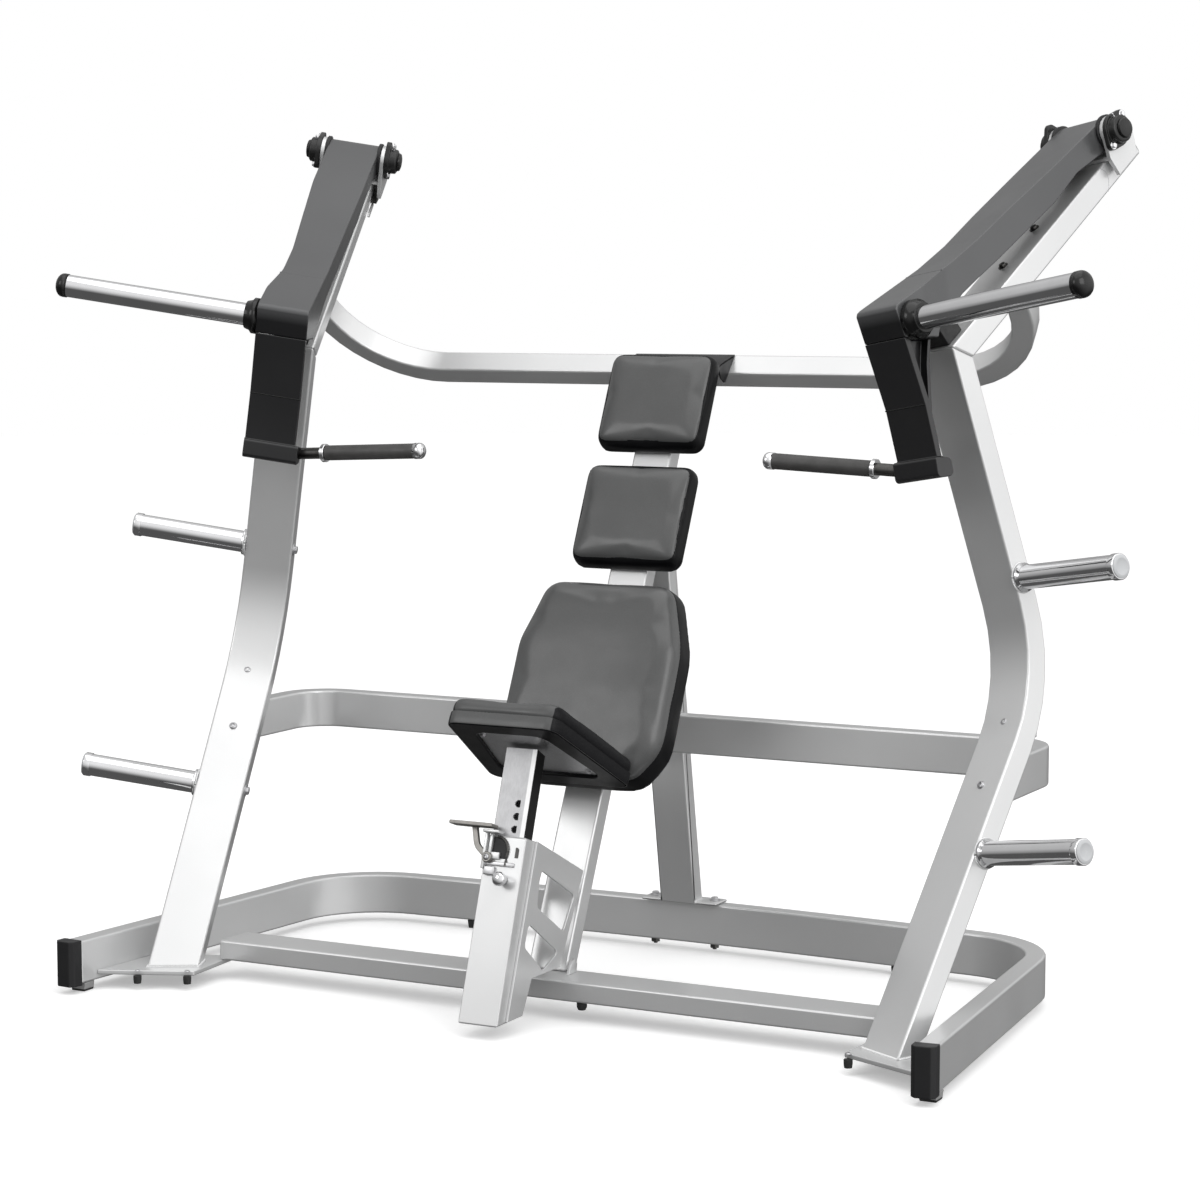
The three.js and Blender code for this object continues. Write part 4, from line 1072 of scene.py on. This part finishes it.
def make_seat_underside():
    """Light plate in the recess under the seat, with its screws."""
    outline = rounded_outline([(-88, 50), (88, 50), (120, 266), (-120, 266)], [16] * 4)
    bm = bmesh.new()
    plate(bm, outline, 2, Matrix.Translation((0, 0, -59)), 0.6)
    piece("seat_plate", bm, STEEL, SEAT, "seat")
    screws = bmesh.new()
    for x, y in ((-74, 74), (74, 74), (-98, 244), (98, 244)):
        hex_bolt(screws, facing((x, y, -59), DOWN), 6)
    piece("seat_screws", screws, ZINC, SEAT, "seat")


def make_seat_skirt():
    """Upholstered band that carries the seat cover down over the edge of the pan."""
    profile = [(3.4, -37), (0.6, -38), (0.2, -50), (0.6, -62), (1.6, -64.5), (3.4, -64.5)]
    bm = bmesh.new()
    rings = []
    for amount, height in profile:
        rings.append([bm.verts.new((p.x, p.y, height)) for p in inset_outline(SEAT_OUTLINE, amount)])
    bridge(bm, rings, closed=True)
    bmesh.ops.recalc_face_normals(bm, faces=bm.faces)
    piece("seat_skirt", bm, SEAT_COVER, SEAT, "seat", 50)


def make_post_latch():
    """Pressed latch housing at the top of the seat post: light frame round a black plate that is painted
    shade for the housing's dark open window.
    """
    front = -25
    back = front - 0.3
    to_front = Matrix.Translation((0, front, 0)) @ Matrix.Rotation(math.radians(90), 4, "X")
    # A black plate fills the housing's window: painted shade for its dark open interior.
    window = bmesh.new()
    shape = rounded_outline([(-28, -48), (6, -48), (6, -3), (-28, -3)], [1.5, 2, 26, 1.5])
    plate(window, shape, 0.8, to_front, 0.2)
    piece("latch_shade_plate", window, BLACK_PLASTIC, POST)
    rim = bmesh.new()
    arc = [(8, front - 2, -62)]
    for angle in range(-20, 91, 10):
        turn = math.radians(angle)
        arc.append((-18 + 27 * math.cos(turn), front - 2, -32 + 29 * math.sin(turn)))
    bead(rim, arc, 3.0, pitch=30)
    piece("latch_rim", rim, DARK_STEEL, POST, sharp=80)
    parts = {
        "latch_bracket": (FRAME_PAINT, (
            ((-45, front - 11, -72), (-39, back, 6), 1.2),
            ((-34, front - 8, -48), (-28, back, 2), 1.0),
            ((-45, front - 24, 2), (-8, back, 8), 1.4),
            ((-27, front - 7, -50), (-8, back, -36), 1.0),
        )),
        "latch_skirt": (STEEL, (
            ((-40, front - 4, -64), (28, back, -55), 1.6),
            ((-38, front - 9, -84), (-14, back, -66), 2.0),
        )),
    }
    for name, (look, blocks) in parts.items():
        bm = bmesh.new()
        for low, high, radius in blocks:
            block(bm, low, high, radius)
        bmesh.ops.recalc_face_normals(bm, faces=bm.faces)
        piece(name, bm, look, POST)
    # Dark steel plate standing for the post's slot: painted shade of the slot's open interior.
    slot = bmesh.new()
    shape = rounded_outline([(26, -44), (34, -44), (34, -22), (26, -22)], [1, 1, 6, 1])
    plate(slot, shape, 1.0, to_front, 0.3)
    piece("post_slot_shade", slot, DARK_STEEL, POST)
    hub = bmesh.new()
    button_bolt(hub, facing((-34, front - 12.8, -48), (0, -1, 0)), 7)
    piece("lever_screw", hub, ZINC, POST, "lever")


def make_arm_trim():
    """Fold lines across each arm, and the bright ring at the root of each grip."""
    form = [(61, 0), (61, 19.6), (62, 20.6), (70, 20.6), (71.2, 19.6), (71.2, 0)]
    for side in HANDS:
        body = f"arm_{side}"
        fold = bmesh.new()
        bead(fold, [side_point(s, (286.2, 1428.2)) for s in (-56, 46)], 0.9, pitch=20)
        side_piece("arm_fold", side, fold, ARM_EDGE, body)
        crease = bmesh.new()
        bead(crease, [side_point(s, (190.2, 1156)) for s in (-57, 57)], 1.3, pitch=20)
        side_piece("drop_crease", side, crease, GLOSS_BLACK, body)
        ring = bmesh.new()
        lathe(ring, form, facing(HANDLE_ROOT, HANDLE_DIRECTION), 40)
        side_piece("grip_ring", side, ring, CHROME, body)


def make_sleeve_lines():
    """Fine curved joint line where the bracket sleeve laps each leaning tube."""
    arc = [(606 + 16 * math.sin(math.pi * k / 10) - 1.4 * k, 25 - 5 * k) for k in range(11)]
    for side in HANDS:
        bm = bmesh.new()
        for s in (TUBE_HALF_W + 0.1, -TUBE_HALF_W - 0.1):
            bead(bm, [side_point(s, along_tube(KNEE, LEAN_ANGLE, a, u)) for a, u in arc], 0.6, pitch=10)
        side_piece("sleeve_line", side, bm, ZINC)


# ---------------------------------------------------------------- stage, light and camera

def make_floor():
    bm = bmesh.new()
    bmesh.ops.create_circle(bm, cap_ends=True, radius=26, segments=96)
    mesh = bpy.data.meshes.new("floor")
    bm.to_mesh(mesh)
    bm.free()
    floor = bpy.data.objects.new("floor", mesh)
    scene.collection.objects.link(floor)
    n = Nodes("floor")
    colour = n.mix(n.spread(n.noise(1.5, 3), 0.0, 0.4), (0.86, 0.86, 0.86), (0.84, 0.84, 0.84))
    mesh.materials.append(n.finish(colour, roughness=None))
    n.shader.inputs["Roughness"].default_value = 0.75
    n.shader.inputs["Emission Color"].default_value = (1.0, 1.0, 1.0, 1.0)
    n.shader.inputs["Emission Strength"].default_value = 0.30
    floor.visible_diffuse = False
    floor.visible_glossy = False


def make_world():
    """Studio walls: brighter to the right and above, dim below and behind, white to the camera itself."""
    world = bpy.data.worlds.new("studio")
    scene.world = world
    n = Nodes(world.name, world)
    axes = n.axes(n.around)
    ramp = n.add("ShaderNodeValToRGB")
    stops = ((0.0, 0.03), (0.28, 0.10), (0.45, 0.50), (0.5, 0.64), (0.66, 0.90), (1.0, 0.96))
    while len(ramp.color_ramp.elements) < len(stops):
        ramp.color_ramp.elements.new(0.5)
    for element, (position, value) in zip(ramp.color_ramp.elements, stops):
        element.position = position
        element.color = (value, value, value, 1.0)
    n.link(n.spread(axes["Z"], 0.0, 1.0, -1.0, 1.0), ramp.inputs["Fac"])
    to_right = n.math("MULTIPLY", axes["X"], 0.38)
    tilted = n.math("ADD", to_right, ramp.outputs["Color"])
    lit = n.math("ADD", tilted, n.spread(axes["X"], 0.0, 0.30, 0.68, 0.95))
    dimmed = n.math("SUBTRACT", lit, n.spread(axes["Y"], 0.0, 0.35, 0.35, 0.90))
    seen = n.add("ShaderNodeLightPath").outputs["Is Camera Ray"]
    background = n.tree.nodes["Background"]
    n.link(n.math("MAXIMUM", seen, n.math("MAXIMUM", dimmed, 0.10)), background.inputs["Color"])


def area_light(name, place, target, size, power):
    data = bpy.data.lights.new(name, "AREA")
    data.shape = "RECTANGLE"
    data.size, data.size_y = size
    data.energy = power
    light = bpy.data.objects.new(name, data)
    light.location = place
    light.rotation_mode = "QUATERNION"
    light.rotation_quaternion = (Vector(target) - Vector(place)).to_track_quat("-Z", "Y")
    scene.collection.objects.link(light)


def make_lights():
    area_light("key", (4.4, -2.4, 3.4), (0, 0, 1.0), (2.6, 2.6), 50)
    area_light("overhead", (0.4, -0.6, 4.8), (0, 0, 0.6), (4.4, 4.4), 60)
    area_light("front", (-2.6, -4.3, 3.2), (0, 0, 0.6), (2.6, 2.0), 40)


def make_camera():
    data = bpy.data.cameras.new("camera")
    data.lens = 91.02
    data.sensor_width = 36
    data.sensor_fit = "HORIZONTAL"
    data.clip_end = 100
    camera = bpy.data.objects.new("camera", data)
    camera.location = (3.018, -5.807 + ORIGIN_Y, 1.521)
    camera.rotation_mode = "QUATERNION"
    camera.rotation_quaternion = Vector((-0.4585, 0.8829, -0.1015)).to_track_quat("-Z", "Y")
    scene.collection.objects.link(camera)
    scene.camera = camera


def corners(pair):
    return [list(pair[0]), list(pair[1])]


make_camera()
make_floor()
make_world()
make_lights()
scene.view_settings.view_transform = "Standard"
dress_cad_nodes()
make_pads()
make_pad_boards()
make_frame_bolts()
make_bearing_bolts()
make_bracket_wedges()
make_pivot_spacers()
make_tube_plugs()
make_storage_caps()
make_welds()
make_floor_fasteners()
make_hood()
make_seat_underside()
make_seat_skirt()
make_post_latch()
make_arm_trim()
make_sleeve_lines()
